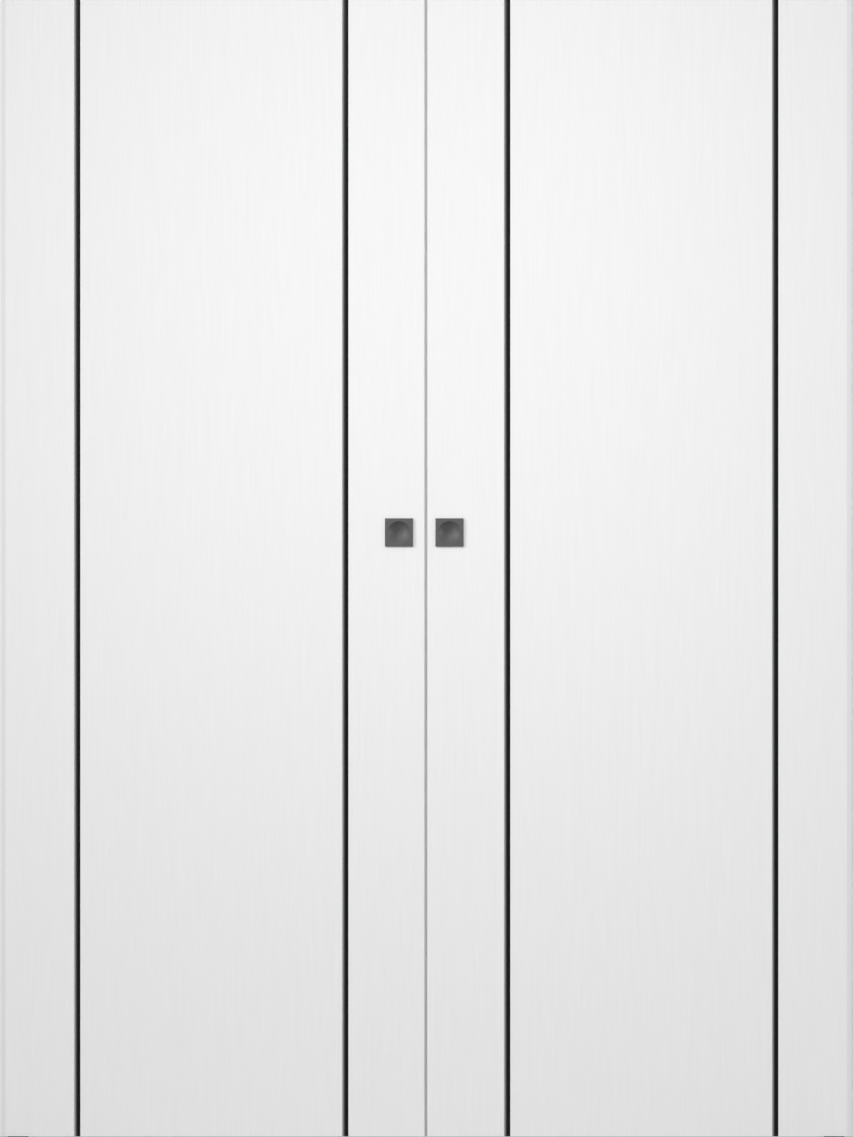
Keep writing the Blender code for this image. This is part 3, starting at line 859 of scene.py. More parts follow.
def worked(mesh: Mesh, tool: Mesh, operation: str = "DIFFERENCE") -> Mesh:
    """Cut a tool out of a mesh, or join it to the mesh.

    Args:
        mesh: The stock, which is used up.
        tool: The cutter or the added shape, which is used up.
        operation: DIFFERENCE or UNION.

    Returns:
        The worked mesh.
    """
    objects = []
    for name, part in (("stock", mesh), ("tool", tool)):
        data = bpy.data.meshes.new(name)
        part.to_mesh(data)
        part.free()
        objects.append(bpy.data.objects.new(name, data))
        bpy.context.scene.collection.objects.link(objects[-1])
    stock, cutter = objects
    boolean = stock.modifiers.new("work", "BOOLEAN")
    boolean.operation = operation
    boolean.solver = "EXACT"
    boolean.object = cutter
    ready = stock.evaluated_get(bpy.context.evaluated_depsgraph_get())
    result = bmesh.new()
    result.from_mesh(ready.to_mesh())
    ready.to_mesh_clear()
    for used in objects:
        data = used.data
        bpy.data.objects.remove(used)
        bpy.data.meshes.remove(data)
    return result


class Bench:
    """Turns meshes into named pieces with their finish and body."""

    EDGE_ANGLE = math.radians(38)
    BEVEL_SEGMENTS = 3

    def __init__(self) -> None:
        """Make every finish once."""
        effects = EffectLibrary()
        self.materials = {surface: surface.value.material(effects) for surface in Surface}

    def add(self, name: str, mesh: Mesh, surfaces: Sequence[Surface], body: str, slot: str,
            stands_for: Sequence[str] = (), bevel: float = 0.0) -> None:
        """Add a piece.

        Args:
            name: Name of the piece.
            mesh: Its mesh in the frame of the part, which is used up.
            surfaces: Its finishes, in the order of the mesh's material numbers.
            body: The body it rides on.
            slot: The record's material slot that the piece stands for; not used.
            stands_for: Nodes that it replaces.
            bevel: Width of the rounding on its sharp edges, nought for none.
        """
        data = bpy.data.meshes.new(name)
        mesh.to_mesh(data)
        mesh.free()
        for surface in surfaces:
            data.materials.append(self.materials[surface])
        data.shade_smooth()
        piece = bpy.data.objects.new(name, data)
        bpy.context.scene.collection.objects.link(piece)
        if bevel:
            rounding = piece.modifiers.new("rounded_edges", "BEVEL")
            rounding.width = bevel
            rounding.segments = self.BEVEL_SEGMENTS
            rounding.limit_method = "ANGLE"
            rounding.angle_limit = self.EDGE_ANGLE
            rounding.harden_normals = True
        else:
            data.set_sharp_from_angle(angle=self.EDGE_ANGLE)
            flats = piece.modifiers.new("flat_faces", "WEIGHTED_NORMAL")
            flats.keep_sharp = True
        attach(piece, body)
        if stands_for:
            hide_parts(*stands_for)
        LOG.info("%s rides on %s", name, body)

    def dress(self, node: bpy.types.Object, surface: Surface) -> None:
        """Give a carried-over node its finish.

        Args:
            node: The node's object.
            surface: The finish.
        """
        for slot in node.material_slots:
            slot.material = self.materials[surface]
        LOG.info("%s is finished as %s", node.name, surface.value.name)


@dataclass
class DoorLeaf:
    """One leaf: facings, edges, inlaid strips and the timber frame inside.

    Attributes:
        side: Which leaf.
        hairline: Joint between pieces that fit closely.
        meeting_chamfer: Bevel of the meeting edge on both faces, which starts on the facing.
        meeting_kerf: Half of the shadow gap between the leaves.
        meeting_bead: Half width of the bead in the edge's middle that closes the gap.
        outer_radius: Rounding of the outer edge.
        edge_steps: Chords in each rounded edge.
        crown_steps: Chords in the crown of a strip.
    """

    side: Side
    hairline: float = 0.05 * MM
    meeting_chamfer: float = 3.8 * MM
    meeting_kerf: float = 0.3 * MM
    meeting_bead: float = 9 * MM
    outer_radius: float = 10 * MM
    edge_steps: int = 20
    crown_steps: int = 24

    def build(self, bench: Bench, nodes: dict[str, bpy.types.Object],
              pull: "FlushPull") -> None:
        """Build and dress the leaf.

        Args:
            bench: Makes the pieces.
            nodes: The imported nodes.
            pull: The pull that is let into the front facing.
        """
        for face in Face:
            self._facing(bench, face, pull)
            for place in Place:
                self._strip(bench, face, place)
        self._meeting_edge(bench)
        self._outer_edge(bench)
        inside = {"meeting_stile": Surface.PINE_UPRIGHT, "outer_stile": Surface.PINE_UPRIGHT,
                  "top_rail": Surface.PINE_RAIL, "bottom_rail": Surface.PINE_RAIL,
                  "core_panel": Surface.PARTICLE}
        for name, surface in inside.items():
            bench.dress(nodes[f"{self.side.label}_{name}"], surface)

    def _box(self, name: str) -> Box:
        """The box of one of the leaf's nodes."""
        return Box.of(f"{self.side.label}_{name}")

    def _plan(self, outline: Iterable[Point]) -> list[Point]:
        """Turn distances from the meeting line into places along X."""
        return [(self.side.value * out, across) for out, across in outline]

    @staticmethod
    def _bare(mesh: Mesh, is_bare: Callable[[bmesh.types.BMFace], bool]) -> None:
        """Number the faces: nought where the laminate lies, one where the board is bare.

        Args:
            mesh: The mesh, which is changed.
            is_bare: Tells whether a face is bare.
        """
        mesh.normal_update()
        for face in mesh.faces:
            face.material_index = int(is_bare(face))

    def _facing(self, bench: Bench, face: Face, pull: "FlushPull") -> None:
        """The board on one face, with grooves for the strips and a mortise for the cup.

        Args:
            bench: Makes the piece.
            face: Which face.
            pull: The pull that is let into the front.
        """
        box = self._box(f"{face.label}_skin")
        surface, inside = sorted((box.low.y, box.high.y), key=abs, reverse=True)
        start = self._box("meeting_edge_band").out[1] + self.hairline
        end = self._box("outer_edge_lipping").out[0] - self.hairline
        arris = self.meeting_kerf + self.meeting_chamfer - start
        outline = [(start + arris, surface), (start, surface - face.value * arris),
                   (start, inside), (end, inside), (end, surface)]
        for place in (Place.OUTER, Place.MEETING):
            strip = self._box(f"{face.label}_{place.value}_strip")
            near, far = strip.out
            floor = min(strip.low.y, strip.high.y, key=abs) - face.value * self.hairline
            outline += [(far + self.hairline, surface), (far + self.hairline, floor),
                        (near - self.hairline, floor), (near - self.hairline, surface)]
        mesh = upright(self._plan(outline), box.low.z, box.high.z)
        if face is Face.FRONT:
            depth = box.centre.y - surface
            tool = rod(pull.mortise_radius, -depth, depth, pull.cup_steps)
            place = pull.centre.copy()
            place.y = surface + pull.mortise_depth - depth
            mesh = worked(mesh, moved(tool, place, INTO_ROOM))
        self._bare(mesh, lambda part: part.normal.y * face.value < SQUARE_ON
                   or abs(part.calc_center_median().y - surface) > arris)
        bench.add(f"{self.side.label}_{face.label}_facing", mesh,
                  (Surface.LAMINATE, Surface.RAW_BOARD), self.side.leaf, "white_laminate",
                  [f"{self.side.label}_{face.label}_skin"])

    def _edge(self, bench: Bench, node: str, name: str, surface: Surface,
              half_outline: Sequence[Point]) -> None:
        """Add the band or lipping on one long edge.

        Args:
            bench: Makes the piece.
            node: The node that it replaces.
            name: Name of the piece.
            surface: Its finish, apart from its cut ends.
            half_outline: Distance from the meeting line and from the leaf's middle plane, from
                the seam on a face to the middle of the edge.
        """
        box = self._box(node)
        outline = [(out, -across) for out, across in half_outline]
        outline += reversed(half_outline)
        mesh = upright(self._plan(outline), box.low.z, box.high.z)
        self._bare(mesh, lambda part: abs(part.normal.z) > SQUARE_ON)
        bench.add(f"{self.side.label}_{name}", mesh, (surface, Surface.RAW_BOARD),
                  self.side.leaf, "white_edging", [f"{self.side.label}_{node}"])

    def _meeting_edge(self, bench: Bench) -> None:
        """The band on the meeting edge: bevelled, with a bead that closes the gap behind.

        Args:
            bench: Makes the piece.
        """
        box = self._box("meeting_edge_band")
        half, (_, seam) = box.high.y, box.out
        arris = self.meeting_kerf + self.meeting_chamfer - seam
        # The band's grey finish paints the shade of the meeting line on the bevels.
        self._edge(bench, "meeting_edge_band", "meeting_edging", Surface.MEETING_EDGING, [
            (seam, half - arris), (self.meeting_kerf, half - self.meeting_chamfer),
            (self.meeting_kerf, self.meeting_bead + self.meeting_kerf),
            (self.hairline, self.meeting_bead)])

    def _outer_edge(self, bench: Bench) -> None:
        """The lipping on the outer edge, with a large rounding on both faces.

        Args:
            bench: Makes the piece.
        """
        box = self._box("outer_edge_lipping")
        half, (seam, edge) = box.high.y, box.out
        radius = self.outer_radius
        rounding = arc((edge - radius, half - radius), radius, 90, 0, self.edge_steps)
        # The lipping's grey finish paints the shade along the leaf's outer border.
        self._edge(bench, "outer_edge_lipping", "outer_lipping", Surface.EDGING,
                   [(seam, half), *rounding])

    def _strip(self, bench: Bench, face: Face, place: Place) -> None:
        """One black strip, flat in its groove and crowned over the face.

        Args:
            bench: Makes the piece.
            face: The face that it lies in.
            place: The end of the leaf that it is nearer to.
        """
        node = f"{face.label}_{place.value}_strip"
        box = self._box(node)
        skin = self._box(f"{face.label}_skin")
        surface = max(skin.low.y, skin.high.y, key=abs)
        seat, crest = sorted((box.low.y, box.high.y), key=abs)
        half = box.size.x / 2
        crown = abs(crest - surface)
        radius = (half ** 2 + crown ** 2) / (2 * crown)
        spread = math.degrees(math.asin(half / radius))
        outline = [(-half, seat), (half, seat)]
        for across, height in arc((0, crown - radius), radius, 90 - spread, 90 + spread,
                                  self.crown_steps):
            outline.append((across, surface + face.value * height))
        mesh = upright([(box.centre.x + across, depth) for across, depth in outline],
                       box.low.z, box.high.z)
        bench.add(f"{self.side.label}_{face.label}_{place.value}_inlay", mesh,
                  (Surface.BLACK_STRIP,), self.side.leaf, "black_strip",
                  [f"{self.side.label}_{node}"])


@dataclass
class FlushPull:
    """The square plate with a spun cup on the front of a leaf.

    Attributes:
        side: Which leaf.
        cup_diameter: Width of the cup's mouth.
        cup_depth: Depth of the cup under the plate's face.
        wall: Thickness of the cup's shell.
        play: Room between the shell and its mortise.
        seat: Gap between plate and facing.
        edge_radius: Rounding of the plate's front edges.
        corner_radius: Rounding of the plate's corners.
        lip_radius: Rounding of the cup's lip.
        lip_step: Distance from the lip to the bowl's first ring.
        cup_steps: Points round the mortise.
        bowl_steps: Chords from the lip to the middle of the cup.
        edge_steps: Chords in each rounding.
        side_steps: Chords in each straight side of the plate.
    """

    side: Side
    cup_diameter: float = 40 * MM
    cup_depth: float = 10 * MM
    wall: float = 1.2 * MM
    play: float = 0.5 * MM
    seat: float = 0.04 * MM
    edge_radius: float = 0.8 * MM
    corner_radius: float = 1.0 * MM
    lip_radius: float = 0.7 * MM
    lip_step: float = 0.175 * MM
    cup_steps: int = 48
    bowl_steps: int = 16
    edge_steps: int = 4
    side_steps: int = 12

    def __post_init__(self) -> None:
        """Read the pull's place from its node and the facing that it lies on."""
        box = Box.of(f"{self.side.label}_front_pull")
        surface = Box.of(f"{self.side.label}_front_skin").low.y
        self.centre = Vector((box.centre.x, surface, box.centre.z))
        self.half = box.size.x / 2
        self.proud = surface - box.low.y
        radius = self.cup_diameter / 2
        self.bowl_radius = (radius ** 2 + self.cup_depth ** 2) / (2 * self.cup_depth)
        self.bowl_centre = self.proud + self.bowl_radius - self.cup_depth
        self.shell_radius = self.bowl_radius + self.wall
        reach = math.sqrt(self.shell_radius ** 2 - self.bowl_centre ** 2)
        self.mortise_radius = reach + self.play
        self.mortise_depth = self.shell_radius - self.bowl_centre + self.play

    def _bowl(self, radius: float, opening: float) -> list[Point]:
        """Section of a dish.

        Args:
            radius: Radius of its sphere.
            opening: Angle at the sphere's centre between the dish's middle and its rim.

        Returns:
            Points (radius, height) from the lowest point to the rim.
        """
        points = []
        for step in range(self.bowl_steps + 1):
            angle = opening * step / self.bowl_steps
            points.append((radius * math.sin(angle), self.bowl_centre - radius * math.cos(angle)))
        return points

    def build(self, bench: Bench) -> None:
        """Build and dress the pull as one spun and bevelled shell.

        Args:
            bench: Makes the piece.
        """
        plate = rounded_rectangle(self.half, self.half, self.corner_radius, self.edge_steps,
                                  self.side_steps)

        def square(half: float, height: float) -> Ring:
            """The plate's outline at one size and height."""
            return ring_of([(x * half / self.half, y * half / self.half) for x, y in plate], height)

        under = math.acos((self.bowl_centre - self.seat) / self.shell_radius)
        rings = [[Vector((0, 0, self.bowl_centre - self.shell_radius))]]
        for reach, height in self._bowl(self.shell_radius, under)[1:]:
            rings.append(radial(plate, reach, height))
        rings.append(square(self.half, self.seat))
        for inset, height in arc((self.edge_radius, self.proud - self.edge_radius),
                                 self.edge_radius, 180, 90, self.edge_steps):
            rings.append(square(self.half - inset, height))
        slope = math.asin(self.cup_diameter / 2 / self.bowl_radius)
        lip = (self.cup_diameter / 2 + self.lip_radius * math.tan(slope / 2),
               self.proud - self.lip_radius)
        for reach, height in arc(lip, self.lip_radius, 90, 90 + math.degrees(slope),
                                 self.edge_steps):
            rings.append(radial(plate, reach, height))
        mouth = math.asin((rings[-1][0].xy.length - self.lip_step) / self.bowl_radius)
        for reach, height in reversed(self._bowl(self.bowl_radius, mouth)[1:]):
            rings.append(radial(plate, reach, height))
        rings.append([Vector((0, 0, self.bowl_centre - self.bowl_radius))])
        bench.add(f"{self.side.label}_cup_pull", moved(loft(rings), self.centre, INTO_ROOM),
                  (Surface.GRAPHITE,), self.side.leaf, "graphite_pull",
                  [f"{self.side.label}_front_pull"])


@dataclass
class Screw:
    """A countersunk wood screw with a cross recess.

    Attributes:
        head_diameter: Width of the head.
        shank_diameter: Width over the thread.
        length: Length from the face of the head to the tip.
        tip: Length of the point.
        neck: Length of plain shank under the head.
        thread_depth: Height of the thread.
        thread_pitch: Rise of one turn of the thread.
        rim: Depth at which the head's cone ends.
        arris: Bevel of the head's edge.
        recess: Length of the cross in the head.
        recess_half: Half width of the cross's arms.
        recess_depth: Depth of the cross.
        recess_taper: Size of the cross at its bottom, as a share of its size at the face.
        recess_radius: Rounding of the corners of the cross's arms.
        recess_steps: Chords in each of those corners.
        play: Room round the screw in its hole.
        overshoot: Height of a cutter over the face that it cuts.
        steps: Points round the screw.
    """

    head_diameter: float = 8 * MM
    shank_diameter: float = 4 * MM
    length: float = 24 * MM
    tip: float = 4 * MM
    neck: float = 1 * MM
    thread_depth: float = 0.7 * MM
    thread_pitch: float = 1.8 * MM
    rim: float = 0.3 * MM
    arris: float = 0.1 * MM
    recess: float = 4.6 * MM
    recess_half: float = 0.55 * MM
    recess_depth: float = 1.5 * MM
    recess_taper: float = 0.55
    recess_radius: float = 0.1375 * MM
    recess_steps: int = 2
    play: float = 0.25 * MM
    overshoot: float = 0.2 * MM
    steps: int = 24

    @property
    def sink(self) -> float:
        """Depth of the head's cone."""
        return (self.head_diameter - self.shank_diameter) / 2

    def hole(self, through: float) -> Mesh:
        """A cutter for the screw's hole and countersink.

        Args:
            through: Depth of the cutter below the face.

        Returns:
            The cutter, with its face at nought and its axis along +Z.
        """
        bore = self.shank_diameter / 2 + self.play
        mouth = self.head_diameter / 2 + self.play
        return turned([(0, -through), (bore, -through), (bore, bore - mouth), (mouth, 0),
                       (mouth, through), (0, through)], self.steps)

    def build(self) -> Mesh:
        """Build the screw.

        Returns:
            The screw, with the face of its head at nought and its tip along -Z.
        """
        shank, head = self.shank_diameter / 2, self.head_diameter / 2
        rings = [[Vector((0, 0, -self.length))]]
        rings += threaded(shank, self.thread_depth, self.thread_pitch, self.tip - self.length,
                          -self.sink - self.neck, self.steps)
        for radius, depth in ((shank, self.sink), (head, self.rim), (head, self.arris),
                              (head - self.arris, 0)):
            rings.append(circle(radius, -depth, self.steps))
        screw = loft(rings)
        for turn in (ALONG, ACROSS):
            wide = turn * self.recess / 2 + UP.cross(turn) * self.recess_half
            top = rounded_rectangle(abs(wide.x), abs(wide.y), self.recess_radius,
                                    self.recess_steps)
            base = [(x * self.recess_taper, y * self.recess_taper) for x, y in top]
            screw = worked(screw, loft([ring_of(base, -self.recess_depth),
                                        ring_of(top, self.overshoot)]))
        return screw


@dataclass
class HangingPoint:
    """One of the two places where a leaf hangs.

    Attributes:
        side: Which leaf.
        place: Which end of the leaf.
    """

    side: Side
    place: Place

    @property
    def label(self) -> str:
        """The hanging point's name in node and piece names."""
        return f"{self.side.label}_{self.place.value}"


@dataclass
class Hanger(HangingPoint):
    """The plate, bolt, nut and screws at one hanging point.

    Attributes:
        corner_radius: Rounding of the plate's corners.
        corner_steps: Chords in each of those corners.
        edge_radius: Rounding of the plate's edges.
        screw_edge: Distance of the screws from the plate's ends and sides.
        bolt_diameter: Width of the bolt over its thread.
        bolt_pitch: Rise of one turn of the thread.
        bolt_thread: Height of the thread.
        bolt_chamfer: Bevel of the bolt's tip and rounding of its head.
        head_height: Height of the bolt's head.
        head_steps: Chords in the rounding of the head.
        socket: Width of the bolt's key socket across its flats.
        nut_flats: Width of the nut across its flats.
        nut_inset: How far its end faces lie inside the flats.
        nut_chamfer: Bevel of the nut's ends and bore.
        bore_play: Room round the bolt in plate and nut.
        steps: Points round the bolt and the nut.
    """

    corner_radius: float = 4 * MM
    corner_steps: int = 6
    edge_radius: float = 0.4 * MM
    screw_edge: float = 8 * MM
    bolt_diameter: float = 8 * MM
    bolt_pitch: float = 1.25 * MM
    bolt_thread: float = 0.6 * MM
    bolt_chamfer: float = 0.6 * MM
    head_height: float = 4.5 * MM
    head_steps: int = 3
    socket: float = 5 * MM
    nut_flats: float = 13 * MM
    nut_inset: float = 0.1 * MM
    nut_chamfer: float = 0.7 * MM
    bore_play: float = 0.15 * MM
    steps: int = 24

    @property
    def bore(self) -> float:
        """Radius of the bolt's hole in plate and nut."""
        return self.bolt_diameter / 2 + self.bore_play

    def build(self, bench: Bench) -> None:
        """Build and dress the hanger.

        Args:
            bench: Makes the pieces.
        """
        self._plate(bench)
        self._bolt(bench)
        self._nut(bench)

    def _add(self, bench: Bench, name: str, mesh: Mesh, node: str = "",
             bevel: float = 0.0) -> None:
        """Add one plated steel piece that slides with the leaf.

        Args:
            bench: Makes the piece.
            name: Ending of the piece's name.
            mesh: Its mesh.
            node: Ending of the name of the node that it replaces, empty for none.
            bevel: Rounding of its edges.
        """
        stands_for = [f"{self.label}_{node}"] if node else []
        bench.add(f"{self.label}_{name}", mesh, (Surface.ZINC_STEEL,), self.side.leaf,
                  "zinc_steel", stands_for, bevel)

    def _plate(self, bench: Bench) -> None:
        """The plate on the leaf's top edge and the screws that hold it down.

        Args:
            bench: Makes the pieces.
        """
        box = Box.of(f"{self.label}_hanger_plate")
        half = box.size / 2
        middle = Vector((box.centre.x, 0, 0))
        seat = Box.of(f"{self.side.label}_top_rail").high.z
        outline = rounded_rectangle(half.x, half.y, self.corner_radius, self.corner_steps)
        mesh = moved(upright(outline, seat, box.high.z), middle)
        bolt_hole = rod(self.bore, seat - half.z, box.high.z + half.z, self.steps)
        mesh = worked(mesh, moved(bolt_hole, middle))
        screw = Screw()
        screws = []
        for x_sign, y_sign in product((-1, 1), repeat=2):
            place = Vector((box.centre.x + x_sign * (half.x - self.screw_edge),
                            y_sign * (half.y - self.screw_edge), box.high.z))
            mesh = worked(mesh, moved(screw.hole(2 * box.size.z), place))
            screws.append(moved(screw.build(), place))
        self._add(bench, "hanger_bracket", mesh, "hanger_plate", self.edge_radius)
        self._add(bench, "bracket_screws", gathered(screws))

    def _bolt(self, bench: Bench) -> None:
        """The bolt from the trolley down through the plate, with a key socket in its head.

        Args:
            bench: Makes the piece.
        """
        box = Box.of(f"{self.label}_hanger_bolt")
        under = box.high.z - self.head_height
        shank, head = self.bolt_diameter / 2, box.size.x / 2
        chamfer = self.bolt_chamfer
        rings = [circle(shank - chamfer, box.low.z, self.steps)]
        rings += threaded(shank, self.bolt_thread, self.bolt_pitch, box.low.z + chamfer,
                          under - shank, self.steps)
        rings.append(circle(shank, under, self.steps))
        rings.append(circle(head, under, self.steps))
        for inset, height in arc((chamfer, box.high.z - chamfer), chamfer, 180, 90,
                                 self.head_steps):
            rings.append(circle(head - inset, height, self.steps))
        for height in (box.high.z, box.high.z - self.head_height / 2):
            rings.append(hexagon(self.socket, height, self.steps))
        mesh = moved(loft(rings), Vector((box.centre.x, 0, 0)))
        self._add(bench, "suspension_bolt", mesh, "hanger_bolt")

    def _nut(self, bench: Bench) -> None:
        """The nut that locks the height of the leaf, chamfered at both ends.

        Args:
            bench: Makes the piece.
        """
        box = Box.of(f"{self.label}_lock_nut")
        low, high, chamfer = box.low.z, box.high.z, self.nut_chamfer
        flat = self.nut_flats / 2 - self.nut_inset
        rings = [circle(flat, low, self.steps), hexagon(self.nut_flats, low + chamfer, self.steps),
                 hexagon(self.nut_flats, high - chamfer, self.steps)]
        for radius, height in ((flat, high), (self.bore + chamfer, high),
                               (self.bore, high - chamfer), (self.bore, low + chamfer),
                               (self.bore + chamfer, low)):
            rings.append(circle(radius, height, self.steps))
        mesh = moved(loft(rings, True), Vector((box.centre.x, 0, 0)))
        self._add(bench, "jam_nut", mesh, "lock_nut")


@dataclass
class Trolley(HangingPoint):
    """The carriage that runs in the track at one hanging point, with its rollers.

    Attributes:
        corner_radius: Rounding of the carriage's upright corners.
        corner_steps: Chords in each of those corners.
        edge_radius: Rounding of the carriage's edges.
        axle_diameter: Width of an axle.
        axle_chamfer: Bevel of an axle's ends.
        bolt_bore: Width of the bolt's bore.
        head_bore: Width of the pocket for the bolt's head.
        head_room: Depth of that pocket.
        bore_play: Room round an axle.
        roller_width: Width of a roller.
        axle_stub: Length of axle outside a roller.
        hub: Radius of a roller's hub, as a share of the tread's radius.
        web: Radius where its web starts, as a share of the tread's radius.
        rim: Radius where its rim starts, as a share of the tread's radius.
        web_sink: Depth of the web under hub and rim.
        tread_chamfer: Bevel of the tread's edges.
        edge_break: Where the bevel is broken, in shares of it inwards and along.
        groove: Depth of the groove round the tread.
        groove_slope: Start and end of the groove's side, as shares of the width.
        steps: Points round a roller.
    """

    corner_radius: float = 3 * MM
    corner_steps: int = 8
    edge_radius: float = 0.35 * MM
    axle_diameter: float = 5 * MM
    axle_chamfer: float = 0.3 * MM
    bolt_bore: float = 8.6 * MM
    head_bore: float = 12.6 * MM
    head_room: float = 5.3 * MM
    bore_play: float = 0.3 * MM
    roller_width: float = 7 * MM
    axle_stub: float = 0.4 * MM
    hub: float = 0.44
    web: float = 0.52
    rim: float = 0.76
    web_sink: float = 0.9 * MM
    tread_chamfer: float = 0.8 * MM
    edge_break: Point = (0.2, 0.3)
    groove: float = 0.35 * MM
    groove_slope: Point = (0.34, 0.4)
    steps: int = 40

    def build(self, bench: Bench) -> None:
        """Build and dress the carriage, its axles and its rollers.

        Args:
            bench: Makes the pieces.
        """
        wheelsets = [f"{self.label}_wheelset_{number}" for number in (1, 2)]
        self._carriage(bench, [Box.of(node).centre for node in wheelsets])
        for node in wheelsets:
            self._wheelset(bench, node)

    def _carriage(self, bench: Bench, axles: Sequence[Vector]) -> None:
        """The cast block, bored for its axles and for the bolt.

        Args:
            bench: Makes the piece.
            axles: Centres of the axles.
        """
        box = Box.of(f"{self.label}_trolley")
        half = box.size / 2
        outline = rounded_rectangle(half.x, half.y, self.corner_radius, self.corner_steps)
        mesh = moved(upright(outline, -half.z, half.z), box.centre)
        bore = self.axle_diameter / 2 + self.bore_play
        for axle in axles:
            drill = rod(bore, -box.size.y, box.size.y, self.steps)
            mesh = worked(mesh, moved(drill, axle, ACROSS))
        pocket = half.z - self.head_room
        drill = [(0, -box.size.z), (self.bolt_bore / 2, -box.size.z), (self.bolt_bore / 2, pocket),
                 (self.head_bore / 2, pocket), (self.head_bore / 2, box.size.z), (0, box.size.z)]
        mesh = worked(mesh, moved(turned(drill, self.steps), box.centre))
        bench.add(f"{self.label}_carriage", mesh, (Surface.CAST_ZINC,), self.side.leaf,
                  "trolley_zinc", [f"{self.label}_trolley"], self.edge_radius)

    def _roller_profile(self, tread: float) -> list[Point]:
        """Section of a roller: hub, web, rim and grooved tread.

        Args:
            tread: Radius of the tread.

        Returns:
            Points (radius, height) from the bore on one side to the bore on the other.
        """
        bore, width = self.axle_diameter / 2, self.roller_width
        sunk, chamfer = self.web_sink, self.tread_chamfer
        inward, along = (share * chamfer for share in self.edge_break)
        slope_start, slope_end = (share * width for share in self.groove_slope)
        half = [(bore, 0), (self.hub * tread, 0), (self.web * tread, sunk),
                (self.rim * tread - sunk / 2, sunk), (self.rim * tread, 0),
                (tread - chamfer, 0), (tread - inward, along), (tread, chamfer),
                (tread, slope_start), (tread - self.groove, slope_end)]
        return half + [(reach, width - height) for reach, height in reversed(half)]

    def _wheelset(self, bench: Bench, node: str) -> None:
        """One axle with a roller at each end.

        Args:
            bench: Makes the pieces.
            node: The node that they replace, which is also their body.
        """
        box = Box.of(node)
        radius, half, chamfer = self.axle_diameter / 2, box.size.y / 2, self.axle_chamfer
        axle = [(0, -half), (radius - chamfer, -half), (radius, chamfer - half),
                (radius, half - chamfer), (radius - chamfer, half), (0, half)]
        bench.add(f"{node}_axle", moved(turned(axle, self.steps), box.centre, ACROSS),
                  (Surface.ZINC_STEEL,), node, "zinc_steel", [node])
        for face in Face:
            mesh = turned(self._roller_profile(box.size.z / 2), self.steps, True)
            place = box.centre.copy()
            place.y = face.value * (half - self.axle_stub - self.roller_width)
            bench.add(f"{node}_{face.label}_roller", moved(mesh, place, face.value * ACROSS),
                      (Surface.GREY_NYLON,), node, "grey_nylon")


@dataclass
class TopTrack:
    """The slotted aluminium track with its countersunk fixing holes.

    Attributes:
        wall: Thickness of the sides and the top.
        lip: Thickness of the running lips.
        slot_half: Half of the slot's width.
        hole_count: Number of fixing holes.
        hole_from_end: Distance of the outermost holes from the track's ends.
        screw_head: Width of a fixing screw's head.
        screw_shank: Width of its shank.
        edge_radius: Rounding of the edges.
    """

    wall: float = 2.8 * MM
    lip: float = 3 * MM
    slot_half: float = 6 * MM
    hole_count: int = 8
    hole_from_end: float = 80 * MM
    screw_head: float = 9.5 * MM
    screw_shank: float = 5 * MM
    edge_radius: float = 0.5 * MM

    def build(self, bench: Bench) -> None:
        """Build and dress the track.

        Args:
            bench: Makes the piece.
        """
        box = Box.of("top_track")
        outside, inside = box.high.y, box.high.y - self.wall
        ceiling = box.high.z - self.wall
        half = [(self.slot_half, box.low.z), (outside, box.low.z), (outside, box.high.z)]
        hollow = [(inside, ceiling), (inside, box.low.z + self.lip),
                  (self.slot_half, box.low.z + self.lip)]
        outline = half + [(-across, height) for across, height in reversed(half)]
        outline += [(-across, height) for across, height in reversed(hollow)] + hollow
        mesh = lengthwise(outline, box.low.x, box.high.x)
        screw = Screw(self.screw_head, self.screw_shank)
        first = box.low.x + self.hole_from_end
        pitch = (box.size.x - 2 * self.hole_from_end) / (self.hole_count - 1)
        holes = []
        for number in range(self.hole_count):
            place = Vector((first + number * pitch, 0, ceiling))
            holes.append(moved(screw.hole(2 * self.wall), place, -UP))
        mesh = worked(mesh, gathered(holes))
        bench.add("headrail", mesh, (Surface.ALUMINIUM,), "track", "track_aluminium",
                  ["top_track"], self.edge_radius)


